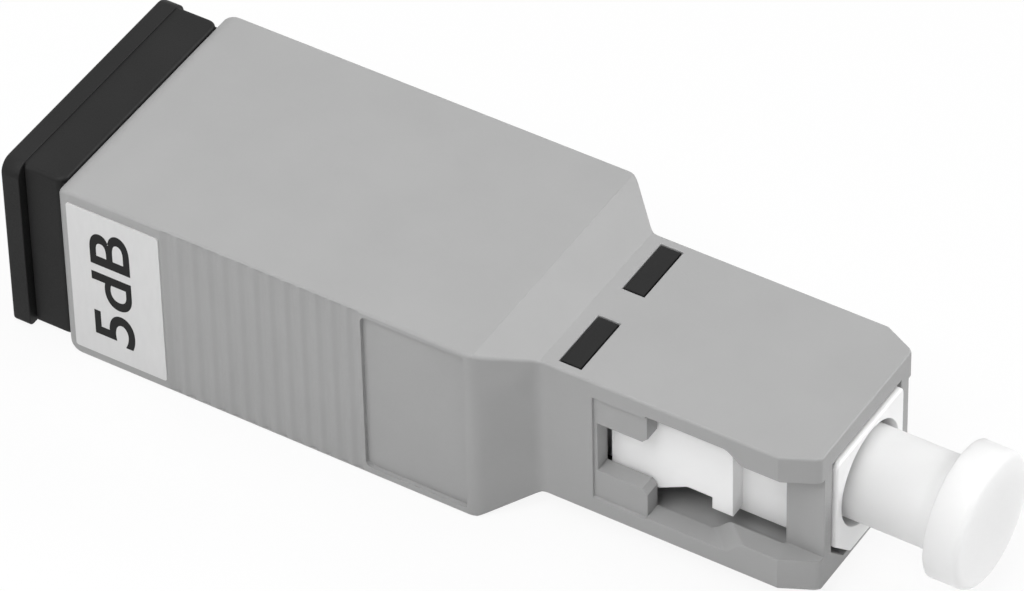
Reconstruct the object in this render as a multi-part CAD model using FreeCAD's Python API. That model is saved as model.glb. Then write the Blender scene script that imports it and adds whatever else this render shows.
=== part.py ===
import FreeCAD, Part
import math
import os

os.makedirs("parts", exist_ok=True)

V = FreeCAD.Vector

# Driving sizes in millimetres. X runs from the port's flange to the plug's tip, Z is up,
# and the optical axis is Y = Z = 0.

# Outside of the grip housing
HOUSING_HALF_Y = 6.46
HOUSING_HALF_Z = 4.55
HOUSING_WALL_Y = 0.66
HOUSING_WALL_Z = 0.35
BODY_LENGTH = 20.15
SHOULDER_LENGTH = 2.0
CORNER_CUT_X = 0.3
CORNER_CUT_Y = 0.25
EDGE_BEVEL = 0.18
REAR_PLAN_RADIUS = 0.7
REAR_SIDE_ROUND_X = 0.9
REAR_SIDE_ROUND_Z = 0.45
END_WALL = 0.5

# Plug, a standard push-pull section
PLUG_HALF_Y = 4.475
PLUG_HALF_Z = 3.675
PLUG_LENGTH = 12.65
TIP_CHAMFER_X = 1.55
TIP_CHAMFER_Y = 0.85
TIP_ROUND_X = 0.45
TIP_ROUND_Y = 0.42
FRONT_WALL = 1.75
KEY_WIDTH = 2.35
KEY_HEIGHT = 0.8
KEY_SETBACK = 1.35
KEY_LENGTH = 8.4

# Side latch windows of the plug, lengths from the shoulder's foot
RECESS_START = 2.45
RECESS_DEPTH = 0.15
RECESS_HALF_Z = 2.8
SLOT_START = 2.6
SLOT_HALF_Z = 1.3
TAB_END = 4.95
TAB_BEVEL = 0.25
WIDE_END = 8.55
WIDE_TOP = 2.94
WIDE_BOTTOM = 2.74
CURVE_LENGTH = 1.0
CURVE_SLANT = 1.05
CURVE_REACH = 1.6
NARROW_TOP = 2.36
NARROW_BOTTOM = 2.0
CHANNEL_FLOOR_Y = 3.4

# Grip on the sides of the housing
LABEL_START = 0.5
LABEL_LENGTH = 4.55
LABEL_HALF_Z = 4.0
LABEL_THICK = 0.06
RIB_START = 5.1
RIB_COUNT = 13
RIB_PITCH = 0.75
RIB_DEPTH = 0.13
RIB_END_GAP = 0.24
POCKET_DEPTH = 0.2
POCKET_LENGTH = 4.9
POCKET_TOP = 4.3
POCKET_BOTTOM = 3.9
POCKET_ROUND = 0.3

# Receptacle body
FLANGE_LENGTH = 0.9
FLANGE_STEP_Y = 0.38
FLANGE_STEP_Z = 0.07
FLANGE_EDGE = 0.12
FLANGE_TOP_ROUND = 0.65
FLANGE_LOW_ROUND = 0.25
NECK_LENGTH = 2.05
NECK_HALF_Y = 5.87
NECK_HALF_Z = 4.4
NECK_ROUND = 0.4
BODY_FIT = 0.05
PORT_PLAY = 0.075
RELIEF_DEPTH = 0.75
RELIEF_HALF_Z = 2.2
RELIEF_START = 4.5
BUMP_LENGTH = 0.6
BUMP_HEIGHT = 0.3
BUMP_LOW_Z = 2.3
BUMP_HIGH_Z = 3.6
MOUTH_CHAMFER = 0.35
MOUTH_FLARE_Y = 0.35
MOUTH_FLARE_Z = 0.21
MOUTH_CORNER = 0.01
KEYWAY_PLAY = 0.075
KEYWAY_LENGTH = 12.0
SPIGOT_WALL_Y = 0.425
SPIGOT_BORE_R = 2.45
LUG_START = 0.7
LUG_LENGTH = 0.95
LUG_INNER_Y = 0.98
LUG_WIDTH = 3.0

# Ferrule, fibre and sleeve
FERRULE_R = 1.25
FERRULE_PROUD = 1.4
FERRULE_CHAMFER = 0.3
FIBRE_R = 0.0625
FIBRE_PLAY = 0.001
MEET_DEPTH = 13.5
SLEEVE_LENGTH = 11.3
SLEEVE_GAP = 0.01
SLEEVE_WALL = 0.34
SLEEVE_PLAY = 0.08
SLEEVE_SLOT = 0.4
SLEEVE_END_PLAY = 0.05
SLEEVE_SEAT_PLAY = 0.2
COLLAR_R = 2.0
COLLAR_LENGTH = 1.6
COLLAR_GAP = 0.05

# Travel of the moving pieces
PUSH_TRAVEL = 1.5
PUSH_SPARE = 0.15
FLOAT_TRAVEL = 1.0
FLOAT_SPARE = 0.1

# Port latch
LATCH_SEAT = 0.65
LATCH_FLANGE = 1.2
LATCH_PLAY = 0.05
TUBE_WALL = 0.52
LIP_LENGTH = 0.8
LIP_R = 1.3
HOOK_LENGTH = 8.55
HOOK_INNER_Y = 3.55
HOOK_OUTER_Y = 4.35
HOOK_HALF_Z = 1.95
BARB_REACH_Y = 2.95
BARB_LENGTH = 1.1
BARB_LEAD = 0.5
BARB_SLOT_HALF_Z = 1.2
ROOT = 0.1

# Inner body
INNER_FLANGE = 1.2
INNER_TUBE_R = 2.3
INNER_PASSAGE_R = 1.4
INNER_PASSAGE_LENGTH = 1.65
SPRING_CHAMBER_R = 1.8
PRESS_R = 2.15
PRESS_DEPTH = 0.85

# Spring
SPRING_WIRE = 0.35
SPRING_MEAN_R = 1.51
SPRING_ACTIVE = 7.0
SPRING_DEAD = 1.25
SPRING_DEAD_PITCH = 1.15
SPRING_SIDES = 6
SPRING_STEPS = 18
SPRING_END_PLAY = 0.05

# Plug frame
NOSE_PROUD = 0.2
NOSE_HALF_Y = 2.7
NOSE_TOP = 2.6
NOSE_BOTTOM = 3.15
NOSE_TOP_CORNER = 0.3
NOSE_SLOPE_Z = 2.0
NOSE_SLOPE_Y = 1.2
NOSE_BORE_R = 2.33
NOSE_EDGE = 0.12
NOSE_PLAY = 0.1
NOSE_SLOPE_PLAY = 0.25
OPENING_CORNER = 0.05
RAIL_HALF_Y = 3.475
RAIL_PLAY = 0.075
RAIL_REAR = 2.75
RAIL_REAR_HALF_Z = 2.2
RAIL_TOP = 1.85
FLARE_START = 4.97
FLARE_BOTTOM = 1.85
WEB_START = 6.35
WEB_END = 7.47
WEB_BOTTOM = 1.12
CATCH_END = 8.43
CATCH_BOTTOM = 1.76
CATCH_SLANT = 0.06
STOP_HOLE_R = 1.4
STOP_LENGTH = 0.75
FRAME_GAP = 0.2
FRAME_STEP = 0.55

# Dust cap
CAP_INSET = 4.35
CAP_BORE_PLAY = 0.02
CAP_TUBE_R = 2.046
CAP_TUBE_OUT = 3.1
CAP_FLARE = 0.95
CAP_DISC_R = 3.0
CAP_DISC_LENGTH = 1.6
CAP_ROUND = 0.35
CAP_MOUTH = 0.15
CAP_AIR = 0.8

# Stations along X that follow from the sizes above
X_HOUSING = FLANGE_LENGTH + NECK_LENGTH
X_SHOULDER = X_HOUSING + BODY_LENGTH
X_PLUG = X_SHOULDER + SHOULDER_LENGTH
X_FRONT = X_PLUG + PLUG_LENGTH
X_NOSE = X_FRONT + NOSE_PROUD
X_TIP = X_NOSE + FERRULE_PROUD
X_CAVITY_END = X_SHOULDER - END_WALL
X_BOX_END = X_CAVITY_END - 2 * BODY_FIT
X_LUG = X_PLUG + LUG_START
X_SPIGOT_END = X_LUG + LUG_LENGTH + 2 * BODY_FIT
X_FRAME = X_SPIGOT_END + FRAME_GAP
X_WIDE_PASSAGE_END = X_FRAME + FRAME_STEP
X_FRONT_WALL = X_FRONT - FRONT_WALL
X_SEAT = MEET_DEPTH + LATCH_SEAT
X_INNER = X_SEAT + LATCH_FLANGE
X_INNER_TUBE = X_INNER + INNER_FLANGE
X_PORT_END = X_INNER_TUBE + PUSH_TRAVEL + PUSH_SPARE
X_SLEEVE = MEET_DEPTH - SLEEVE_LENGTH / 2
X_SLEEVE_END = MEET_DEPTH + SLEEVE_LENGTH / 2
X_LIP_END = X_SLEEVE - SLEEVE_END_PLAY
X_TUBE = X_LIP_END - LIP_LENGTH
X_HOOK = X_SEAT - HOOK_LENGTH
X_SLEEVE_SEAT_END = X_SLEEVE_END + SLEEVE_SEAT_PLAY
X_SPRING_SEAT = X_SLEEVE_SEAT_END + INNER_PASSAGE_LENGTH
X_PRESS_END = X_FRAME + PRESS_DEPTH
X_COLLAR = X_PRESS_END + FLOAT_TRAVEL + FLOAT_SPARE
X_STOP = X_COLLAR + COLLAR_LENGTH + COLLAR_GAP
X_NOSE_BORE = X_STOP + STOP_LENGTH
X_CAP = X_NOSE - CAP_INSET
X_CAP_FLARE = X_NOSE + CAP_TUBE_OUT
X_CAP_DISC = X_CAP_FLARE + CAP_FLARE
X_CAP_END = X_CAP_DISC + CAP_DISC_LENGTH

# Cross-section sizes that follow from the sizes above
CAVITY_HALF_Y = HOUSING_HALF_Y - HOUSING_WALL_Y
CAVITY_HALF_Z = HOUSING_HALF_Z - HOUSING_WALL_Z
BOX_HALF_Y = CAVITY_HALF_Y - BODY_FIT
BOX_HALF_Z = CAVITY_HALF_Z - BODY_FIT
PORT_HALF_Y = PLUG_HALF_Y + PORT_PLAY
PORT_HALF_Z = PLUG_HALF_Z + PORT_PLAY
LATCH_HALF_Y = PORT_HALF_Y - LATCH_PLAY
LATCH_HALF_Z = PORT_HALF_Z - LATCH_PLAY
PASSAGE_HALF_Y = PLUG_HALF_Y - SPIGOT_WALL_Y
PASSAGE_TOP = NOSE_TOP + NOSE_PLAY
PASSAGE_BOTTOM = NOSE_BOTTOM + NOSE_PLAY
SPIGOT_HALF_Y = PASSAGE_HALF_Y - BODY_FIT
SPIGOT_TOP = PASSAGE_TOP - BODY_FIT
SPIGOT_BOTTOM = PASSAGE_BOTTOM - BODY_FIT
FRAME_CAVITY_HALF_Y = RAIL_HALF_Y + RAIL_PLAY
KEYWAY_HALF_Y = KEY_WIDTH / 2 + KEYWAY_PLAY
SLEEVE_BORE_R = FERRULE_R + SLEEVE_GAP
SLEEVE_OUTER_R = SLEEVE_BORE_R + SLEEVE_WALL
SLEEVE_SEAT_R = SLEEVE_OUTER_R + SLEEVE_PLAY
TUBE_OUTER_R = SLEEVE_SEAT_R + TUBE_WALL
CAP_BORE_R = FERRULE_R + CAP_BORE_PLAY

# How far a cutting solid passes what it cuts, or only just passes it, and the steps of a rounded corner
PAST = 0.5
SKIM = 0.05
ROUND_STEPS = 4
REAR_STEPS = 6


def block(x0, x1, y0, y1, z0, z1):
    return Part.makeBox(x1 - x0, y1 - y0, z1 - z0, V(x0, y0, z0))


def bar(x0, x1, half_y, half_z):
    return block(x0, x1, -half_y, half_y, -half_z, half_z)


def rod(radius, x0, x1):
    return Part.makeCylinder(radius, x1 - x0, V(x0, 0, 0), V(1, 0, 0))


def wire_of(points):
    return Part.makePolygon(points + [points[0]])


def face_of(points):
    return Part.Face(wire_of(points))


def section_prism(outline, x0, x1):
    face = face_of([V(x0, y, z) for y, z in outline])
    return face.extrude(V(x1 - x0, 0, 0))


def side_prism(outline, y0, y1):
    face = face_of([V(x, y0, z) for x, z in outline])
    return face.extrude(V(0, y1 - y0, 0))


def plan_prism(outline, z0, z1):
    face = face_of([V(x, y, z0) for x, y in outline])
    return face.extrude(V(0, 0, z1 - z0))


def turned(profile):
    face = face_of([V(x, 0, r) for x, r in profile])
    return face.revolve(V(0, 0, 0), V(1, 0, 0), 360)


def mirrored_y(shape):
    return shape.mirror(V(0, 0, 0), V(0, 1, 0))


def both_sides(shape):
    return [shape, mirrored_y(shape)]


def bevelled_section(x, half_y, half_z, bevel):
    inner_y = half_y - bevel
    inner_z = half_z - bevel
    corners = [
        (inner_y, half_z),
        (-inner_y, half_z),
        (-half_y, inner_z),
        (-half_y, -inner_z),
        (-inner_y, -half_z),
        (inner_y, -half_z),
        (half_y, -inner_z),
        (half_y, inner_z),
    ]
    return wire_of([V(x, y, z) for y, z in corners])


def rounded_section(half_y, half_z, top_round, low_round):
    """Outline in Y and Z with rounded corners, the upper and lower pairs each with their own radius."""
    turns = [math.pi / 2 * i / ROUND_STEPS for i in range(ROUND_STEPS + 1)]
    low_y = half_y - low_round
    low_z = low_round - half_z
    top_y = half_y - top_round
    top_z = half_z - top_round
    right = [(low_y + low_round * math.sin(t), low_z - low_round * math.cos(t)) for t in turns]
    right += [(top_y + top_round * math.cos(t), top_z + top_round * math.sin(t)) for t in turns]
    left = [(-y, z) for y, z in reversed(right)]
    return right + left


def section_wire(outline, x):
    return wire_of([V(x, y, z) for y, z in outline])


def nose_outline(play, slope_play, corner):
    """Outline of the frame's nose in Y and Z, grown by a play all round and another on the low slopes."""
    half_y = NOSE_HALF_Y + play
    top = NOSE_TOP + play
    bottom = NOSE_BOTTOM + play
    run = NOSE_HALF_Y - NOSE_SLOPE_Y
    rise = NOSE_BOTTOM - NOSE_SLOPE_Z
    length = math.hypot(run, rise)
    slide_z = slope_play * length / run
    slope = rise / run
    side_z = NOSE_SLOPE_Z + slide_z - slope * play
    foot_y = NOSE_SLOPE_Y + (slide_z - play) / slope
    right = [
        (foot_y, -bottom),
        (half_y, -side_z),
        (half_y, top - corner),
        (half_y - corner, top),
    ]
    left = [(-y, z) for y, z in reversed(right)]
    return right + left


def rear_rounding():
    """Solid as wide as the housing whose rear corners are rounded in plan and in side view."""
    r = REAR_PLAN_RADIUS
    y = HOUSING_HALF_Y
    far = X_FRONT + PAST
    k = r * (1 - math.sqrt(0.5))
    plan = [
        Part.makeLine(V(far, -y, 0), V(far, y, 0)),
        Part.makeLine(V(far, y, 0), V(X_HOUSING + r, y, 0)),
        Part.Arc(V(X_HOUSING + r, y, 0), V(X_HOUSING + k, y - k, 0), V(X_HOUSING, y - r, 0)).toShape(),
        Part.makeLine(V(X_HOUSING, y - r, 0), V(X_HOUSING, r - y, 0)),
        Part.Arc(V(X_HOUSING, r - y, 0), V(X_HOUSING + k, k - y, 0), V(X_HOUSING + r, -y, 0)).toShape(),
        Part.makeLine(V(X_HOUSING + r, -y, 0), V(far, -y, 0)),
    ]
    z = HOUSING_HALF_Z
    plan_solid = Part.Face(Part.Wire(plan)).extrude(V(0, 0, 2 * z))
    plan_solid.translate(V(0, 0, -z))
    a = REAR_SIDE_ROUND_X
    b = REAR_SIDE_ROUND_Z
    upper = []
    for i in range(REAR_STEPS + 1):
        t = math.pi / 2 * i / REAR_STEPS
        upper.append((X_HOUSING + a * (1 - math.sin(t)), z - b * (1 - math.cos(t))))
    lower = [(px, -pz) for px, pz in reversed(upper)]
    side = side_prism(upper + lower + [(far, -z), (far, z)], -y, y)
    return plan_solid.common(side)


def housing_outside():
    """Ribless outside of the grip housing: body, shoulder and plug as one ruled solid."""
    sections = [
        (X_HOUSING, HOUSING_HALF_Y, HOUSING_HALF_Z),
        (X_SHOULDER - CORNER_CUT_X, HOUSING_HALF_Y, HOUSING_HALF_Z),
        (X_SHOULDER, HOUSING_HALF_Y - CORNER_CUT_Y, HOUSING_HALF_Z),
        (X_PLUG, PLUG_HALF_Y, PLUG_HALF_Z),
        (X_FRONT - TIP_CHAMFER_X, PLUG_HALF_Y, PLUG_HALF_Z),
        (X_FRONT - TIP_ROUND_X, PLUG_HALF_Y - TIP_CHAMFER_Y + TIP_ROUND_Y, PLUG_HALF_Z),
        (X_FRONT, PLUG_HALF_Y - TIP_CHAMFER_Y, PLUG_HALF_Z),
    ]
    wires = [bevelled_section(x, y, z, EDGE_BEVEL) for x, y, z in sections]
    outside = Part.makeLoft(wires, True, True)
    outside = outside.common(rear_rounding())
    key_front = X_FRONT - KEY_SETBACK
    key = block(
        key_front - KEY_LENGTH, key_front,
        -KEY_WIDTH / 2, KEY_WIDTH / 2, -PLUG_HALF_Z - KEY_HEIGHT, EDGE_BEVEL - PLUG_HALF_Z,
    )
    return outside.fuse(key)


def straight(x0, z0, x1, z1):
    return Part.makeLine(V(x0, 0, z0), V(x1, 0, z1))


def s_curve(x0, z0, x1, z1):
    bend = (x1 - x0) / 2
    curve = Part.BezierCurve()
    curve.setPoles([V(x0, 0, z0), V(x0 + bend, 0, z0), V(x1 - bend, 0, z1), V(x1, 0, z1)])
    return curve.toShape()


def straight_window():
    """Part of a latch window that is square to the wall: tab slot, wide part and narrow part."""
    x_slot = X_PLUG + SLOT_START
    x_tab = X_PLUG + TAB_END
    x_wide = X_PLUG + WIDE_END - CURVE_SLANT
    x_bevel = x_tab - TAB_BEVEL
    z_bevel = SLOT_HALF_Z + TAB_BEVEL
    outline = [
        (x_slot, -SLOT_HALF_Z),
        (x_slot, SLOT_HALF_Z),
        (x_bevel, SLOT_HALF_Z),
        (x_tab, z_bevel),
        (x_tab, WIDE_TOP),
        (x_wide, WIDE_TOP),
        (x_wide, NARROW_TOP),
        (X_FRONT_WALL, NARROW_TOP),
        (X_FRONT_WALL, -NARROW_BOTTOM),
        (x_wide, -NARROW_BOTTOM),
        (x_wide, -WIDE_BOTTOM),
        (x_tab, -WIDE_BOTTOM),
        (x_tab, -z_bevel),
        (x_bevel, -SLOT_HALF_Z),
    ]
    return side_prism(outline, FRAME_CAVITY_HALF_Y - PAST, PLUG_HALF_Y + PAST)


def slanted_window():
    """Front end of the wide part: an S-curve in side view that runs through the wall at a slant in plan."""
    x0 = X_PLUG + WIDE_END - CURVE_REACH
    x1 = X_PLUG + WIDE_END
    x2 = x1 + CURVE_LENGTH
    edges = [
        straight(x0, -WIDE_BOTTOM, x0, WIDE_TOP),
        straight(x0, WIDE_TOP, x1, WIDE_TOP),
        s_curve(x1, WIDE_TOP, x2, NARROW_TOP),
        straight(x2, NARROW_TOP, x2, -NARROW_BOTTOM),
        s_curve(x2, -NARROW_BOTTOM, x1, -WIDE_BOTTOM),
        straight(x1, -WIDE_BOTTOM, x0, -WIDE_BOTTOM),
    ]
    wall = PLUG_HALF_Y - FRAME_CAVITY_HALF_Y
    lean = CURVE_SLANT / wall
    depth = wall + 2 * SKIM
    face = Part.Face(Part.Wire(edges))
    face.translate(V(SKIM * lean, PLUG_HALF_Y + SKIM, 0))
    return face.extrude(V(-depth * lean, -depth, 0))


def latch_window():
    """Everything cut from one side of the plug for the mating hooks."""
    y_out = PLUG_HALF_Y + PAST
    recess = block(
        X_PLUG + RECESS_START, X_PLUG + TAB_END,
        PLUG_HALF_Y - RECESS_DEPTH, y_out, -RECESS_HALF_Z, RECESS_HALF_Z,
    )
    channel = block(
        X_FRONT_WALL - PAST, X_FRONT + PAST,
        CHANNEL_FLOOR_Y, y_out, -NARROW_BOTTOM, NARROW_TOP,
    )
    return [straight_window(), slanted_window(), recess, channel]


def rib_groove(x_middle):
    """One shallow round groove of the finger grip, upright on the housing's side and short of its edges."""
    half = RIB_PITCH / 2
    radius = (half * half + RIB_DEPTH * RIB_DEPTH) / (2 * RIB_DEPTH)
    y_axis = HOUSING_HALF_Y - RIB_DEPTH + radius
    half_length = HOUSING_HALF_Z - RIB_END_GAP
    return Part.makeCylinder(radius, 2 * half_length, V(x_middle, y_axis, -half_length), V(0, 0, 1))


def grip_side():
    """Grooves and the plain pocket cut from one side of the housing's body."""
    cuts = []
    for i in range(RIB_COUNT):
        cuts.append(rib_groove(X_HOUSING + RIB_START + (i + 0.5) * RIB_PITCH))
    x0 = X_HOUSING + RIB_START + RIB_COUNT * RIB_PITCH
    pocket = block(
        x0, x0 + POCKET_LENGTH,
        HOUSING_HALF_Y - POCKET_DEPTH, HOUSING_HALF_Y + PAST, -POCKET_BOTTOM, POCKET_TOP,
    )
    rear_corners = []
    for edge in pocket.Edges:
        if edge.BoundBox.YLength > POCKET_DEPTH and edge.BoundBox.XMax < x0 + POCKET_LENGTH / 2:
            rear_corners.append(edge)
    cuts.append(pocket.makeFillet(POCKET_ROUND, rear_corners))
    return cuts


def lug_blocks(grow, z_foot, z_top):
    """The two snap lugs as blocks, grown by a fit for the holes that take them."""
    lug = block(
        X_LUG - grow, X_LUG + LUG_LENGTH + grow,
        LUG_INNER_Y - grow, LUG_INNER_Y + LUG_WIDTH + grow, z_foot, z_top,
    )
    return both_sides(lug)


def keyway(z_top):
    return block(
        -PAST, KEYWAY_LENGTH,
        -KEYWAY_HALF_Y, KEYWAY_HALF_Y, -HOUSING_HALF_Z - PAST, z_top,
    )


def make_outer_housing():
    opening = nose_outline(NOSE_PLAY, NOSE_SLOPE_PLAY, OPENING_CORNER)
    cuts = [
        bar(X_HOUSING - PAST, X_CAVITY_END, CAVITY_HALF_Y, CAVITY_HALF_Z),
        block(
            X_CAVITY_END - PAST, X_WIDE_PASSAGE_END,
            -PASSAGE_HALF_Y, PASSAGE_HALF_Y, -PASSAGE_BOTTOM, PASSAGE_TOP,
        ),
        block(
            X_WIDE_PASSAGE_END - PAST, X_FRONT_WALL,
            -FRAME_CAVITY_HALF_Y, FRAME_CAVITY_HALF_Y, -PASSAGE_BOTTOM, PASSAGE_TOP,
        ),
        section_prism(opening, X_FRONT_WALL - PAST, X_FRONT + PAST),
        keyway(0),
    ]
    cuts += lug_blocks(BODY_FIT, PASSAGE_TOP - PAST, PLUG_HALF_Z + PAST)
    cuts += lug_blocks(BODY_FIT, -PLUG_HALF_Z - PAST, PAST - PASSAGE_BOTTOM)
    for window in latch_window():
        cuts += both_sides(window)
    for groove in grip_side():
        cuts += both_sides(groove)
    return housing_outside().cut(cuts).removeSplitter()


def make_receptacle_body():
    half_y = NECK_HALF_Y + FLANGE_STEP_Y
    half_z = NECK_HALF_Z + FLANGE_STEP_Z
    inner_y = half_y - FLANGE_EDGE
    inner_z = half_z - FLANGE_EDGE
    rim = rounded_section(half_y, half_z, FLANGE_TOP_ROUND, FLANGE_LOW_ROUND)
    flange = Part.makeLoft([
        section_wire(rounded_section(inner_y, inner_z, FLANGE_TOP_ROUND, FLANGE_LOW_ROUND), 0),
        section_wire(rim, FLANGE_EDGE),
        section_wire(rim, FLANGE_LENGTH),
    ], True, True)
    neck = section_prism(
        rounded_section(NECK_HALF_Y, NECK_HALF_Z, NECK_ROUND, FLANGE_LOW_ROUND),
        FLANGE_LENGTH - FLANGE_EDGE, X_HOUSING - BODY_FIT,
    )
    box = bar(FLANGE_LENGTH, X_BOX_END, BOX_HALF_Y, BOX_HALF_Z)
    spigot = block(
        X_BOX_END - PAST, X_SPIGOT_END,
        -SPIGOT_HALF_Y, SPIGOT_HALF_Y, -SPIGOT_BOTTOM, SPIGOT_TOP,
    )
    lugs = lug_blocks(0, SPIGOT_TOP - PAST, PLUG_HALF_Z)
    lugs += lug_blocks(0, -PLUG_HALF_Z, PAST - SPIGOT_BOTTOM)
    solid = flange.fuse([neck, box, spigot] + lugs)
    mouth = Part.makeLoft([
        bevelled_section(0, PORT_HALF_Y + MOUTH_FLARE_Y, PORT_HALF_Z + MOUTH_FLARE_Z, MOUTH_CORNER),
        bevelled_section(MOUTH_CHAMFER, PORT_HALF_Y, PORT_HALF_Z, MOUTH_CORNER),
    ], True, True)
    cuts = [
        bar(-PAST, X_PORT_END, PORT_HALF_Y, PORT_HALF_Z),
        mouth,
        rod(SPIGOT_BORE_R, X_PORT_END - PAST, X_SPIGOT_END + PAST),
        keyway(0),
    ]
    relief = block(
        RELIEF_START, X_SEAT,
        PORT_HALF_Y - PAST, PORT_HALF_Y + RELIEF_DEPTH, -RELIEF_HALF_Z, RELIEF_HALF_Z,
    )
    cuts += both_sides(relief)
    solid = solid.cut(cuts)
    x_bump = X_SEAT - LATCH_PLAY
    ramp = plan_prism(
        [
            (x_bump - 2 * BUMP_LENGTH, PORT_HALF_Y),
            (x_bump - BUMP_LENGTH, PORT_HALF_Y - BUMP_HEIGHT),
            (x_bump, PORT_HALF_Y - BUMP_HEIGHT),
            (x_bump, PORT_HALF_Y + ROOT),
            (x_bump - 2 * BUMP_LENGTH, PORT_HALF_Y + ROOT),
        ],
        BUMP_LOW_Z, BUMP_HIGH_Z,
    )
    bumps = []
    for shape in both_sides(ramp):
        bumps.append(shape)
        bumps.append(shape.mirror(V(0, 0, 0), V(0, 0, 1)))
    return solid.fuse(bumps).removeSplitter()


def make_value_label():
    return block(
        X_HOUSING + LABEL_START, X_HOUSING + LABEL_START + LABEL_LENGTH,
        -HOUSING_HALF_Y - LABEL_THICK, -HOUSING_HALF_Y, -LABEL_HALF_Z, LABEL_HALF_Z,
    )


def make_plug_frame():
    outline = nose_outline(0, 0, NOSE_TOP_CORNER)
    main = section_prism(outline, X_FRAME, X_NOSE - NOSE_EDGE)
    front = Part.makeLoft([
        section_wire(outline, X_NOSE - NOSE_EDGE),
        section_wire(nose_outline(-NOSE_EDGE, -NOSE_EDGE, NOSE_TOP_CORNER), X_NOSE),
    ], True, True)
    rail = side_prism(
        [
            (X_PLUG + RAIL_REAR, RAIL_REAR_HALF_Z),
            (X_PLUG + FLARE_START, RAIL_TOP),
            (X_PLUG + CATCH_END + CATCH_SLANT, RAIL_TOP),
            (X_PLUG + CATCH_END + CATCH_SLANT, -CATCH_BOTTOM),
            (X_PLUG + WEB_END, -CATCH_BOTTOM),
            (X_PLUG + WEB_END, -WEB_BOTTOM),
            (X_PLUG + WEB_START, -WEB_BOTTOM),
            (X_PLUG + FLARE_START, -FLARE_BOTTOM),
            (X_PLUG + RAIL_REAR, -RAIL_REAR_HALF_Z),
        ],
        NOSE_HALF_Y - PAST, RAIL_HALF_Y,
    )
    slant = plan_prism(
        [
            (X_PLUG + CATCH_END, RAIL_HALF_Y),
            (X_PLUG + CATCH_END, RAIL_HALF_Y + PAST),
            (X_PLUG + CATCH_END + CATCH_SLANT, RAIL_HALF_Y + PAST),
            (X_PLUG + CATCH_END + CATCH_SLANT, NOSE_HALF_Y),
        ],
        -NOSE_BOTTOM, NOSE_BOTTOM,
    )
    rails = both_sides(rail.cut(slant))
    bores = [
        rod(PRESS_R, X_FRAME - PAST, X_STOP),
        rod(STOP_HOLE_R, X_STOP - PAST, X_NOSE_BORE + PAST),
        rod(NOSE_BORE_R, X_NOSE_BORE, X_NOSE + PAST),
    ]
    return main.fuse([front] + rails).cut(bores).removeSplitter()


def make_port_latch():
    flange = bar(X_SEAT, X_INNER, LATCH_HALF_Y, LATCH_HALF_Z)
    tube = rod(TUBE_OUTER_R, X_TUBE, X_SEAT + PAST)
    arm = block(X_HOOK, X_SEAT + PAST, HOOK_INNER_Y, HOOK_OUTER_Y, -HOOK_HALF_Z, HOOK_HALF_Z)
    barb = plan_prism(
        [
            (X_HOOK, HOOK_INNER_Y + ROOT),
            (X_HOOK, HOOK_INNER_Y),
            (X_HOOK + BARB_LEAD, BARB_REACH_Y),
            (X_HOOK + BARB_LENGTH, BARB_REACH_Y),
            (X_HOOK + BARB_LENGTH, HOOK_INNER_Y + ROOT),
        ],
        -HOOK_HALF_Z, HOOK_HALF_Z,
    )
    slot = block(
        X_HOOK - PAST, X_HOOK + BARB_LENGTH + PAST,
        BARB_REACH_Y - PAST, HOOK_INNER_Y, -BARB_SLOT_HALF_Z, BARB_SLOT_HALF_Z,
    )
    hooks = both_sides(arm.fuse(barb).cut(slot))
    bores = [
        rod(LIP_R, X_TUBE - PAST, X_LIP_END + PAST),
        rod(SLEEVE_SEAT_R, X_LIP_END, X_INNER + PAST),
    ]
    return flange.fuse([tube] + hooks).cut(bores).removeSplitter()


def make_inner_body():
    flange = bar(X_INNER, X_INNER_TUBE, LATCH_HALF_Y, LATCH_HALF_Z)
    tube = rod(INNER_TUBE_R, X_INNER_TUBE - PAST, X_FRAME)
    press = rod(PRESS_R, X_FRAME - PAST, X_PRESS_END)
    bores = [
        rod(SLEEVE_SEAT_R, X_INNER - PAST, X_SLEEVE_SEAT_END),
        rod(INNER_PASSAGE_R, X_SLEEVE_SEAT_END - PAST, X_SPRING_SEAT + PAST),
        rod(SPRING_CHAMBER_R, X_SPRING_SEAT, X_PRESS_END + PAST),
    ]
    return flange.fuse([tube, press]).cut(bores).removeSplitter()


def make_alignment_sleeve():
    x0 = X_SLEEVE - PAST
    x1 = X_SLEEVE_END + PAST
    bore = rod(SLEEVE_BORE_R, x0, x1)
    slot = block(x0, x1, -SLEEVE_SLOT / 2, SLEEVE_SLOT / 2, 0, SLEEVE_OUTER_R + PAST)
    return rod(SLEEVE_OUTER_R, X_SLEEVE, X_SLEEVE_END).cut([bore, slot])


def make_ferrule():
    c = FERRULE_CHAMFER
    bore = FIBRE_R + FIBRE_PLAY
    return turned([
        (MEET_DEPTH, bore),
        (MEET_DEPTH, FERRULE_R - c),
        (MEET_DEPTH + c, FERRULE_R),
        (X_TIP - c, FERRULE_R),
        (X_TIP, FERRULE_R - c),
        (X_TIP, bore),
    ])


def make_ferrule_collar():
    return rod(COLLAR_R, X_COLLAR, X_COLLAR + COLLAR_LENGTH).cut(
        rod(FERRULE_R, X_COLLAR - PAST, X_COLLAR + COLLAR_LENGTH + PAST)
    )


def make_attenuating_fibre():
    return rod(FIBRE_R, MEET_DEPTH, X_TIP)


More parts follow.
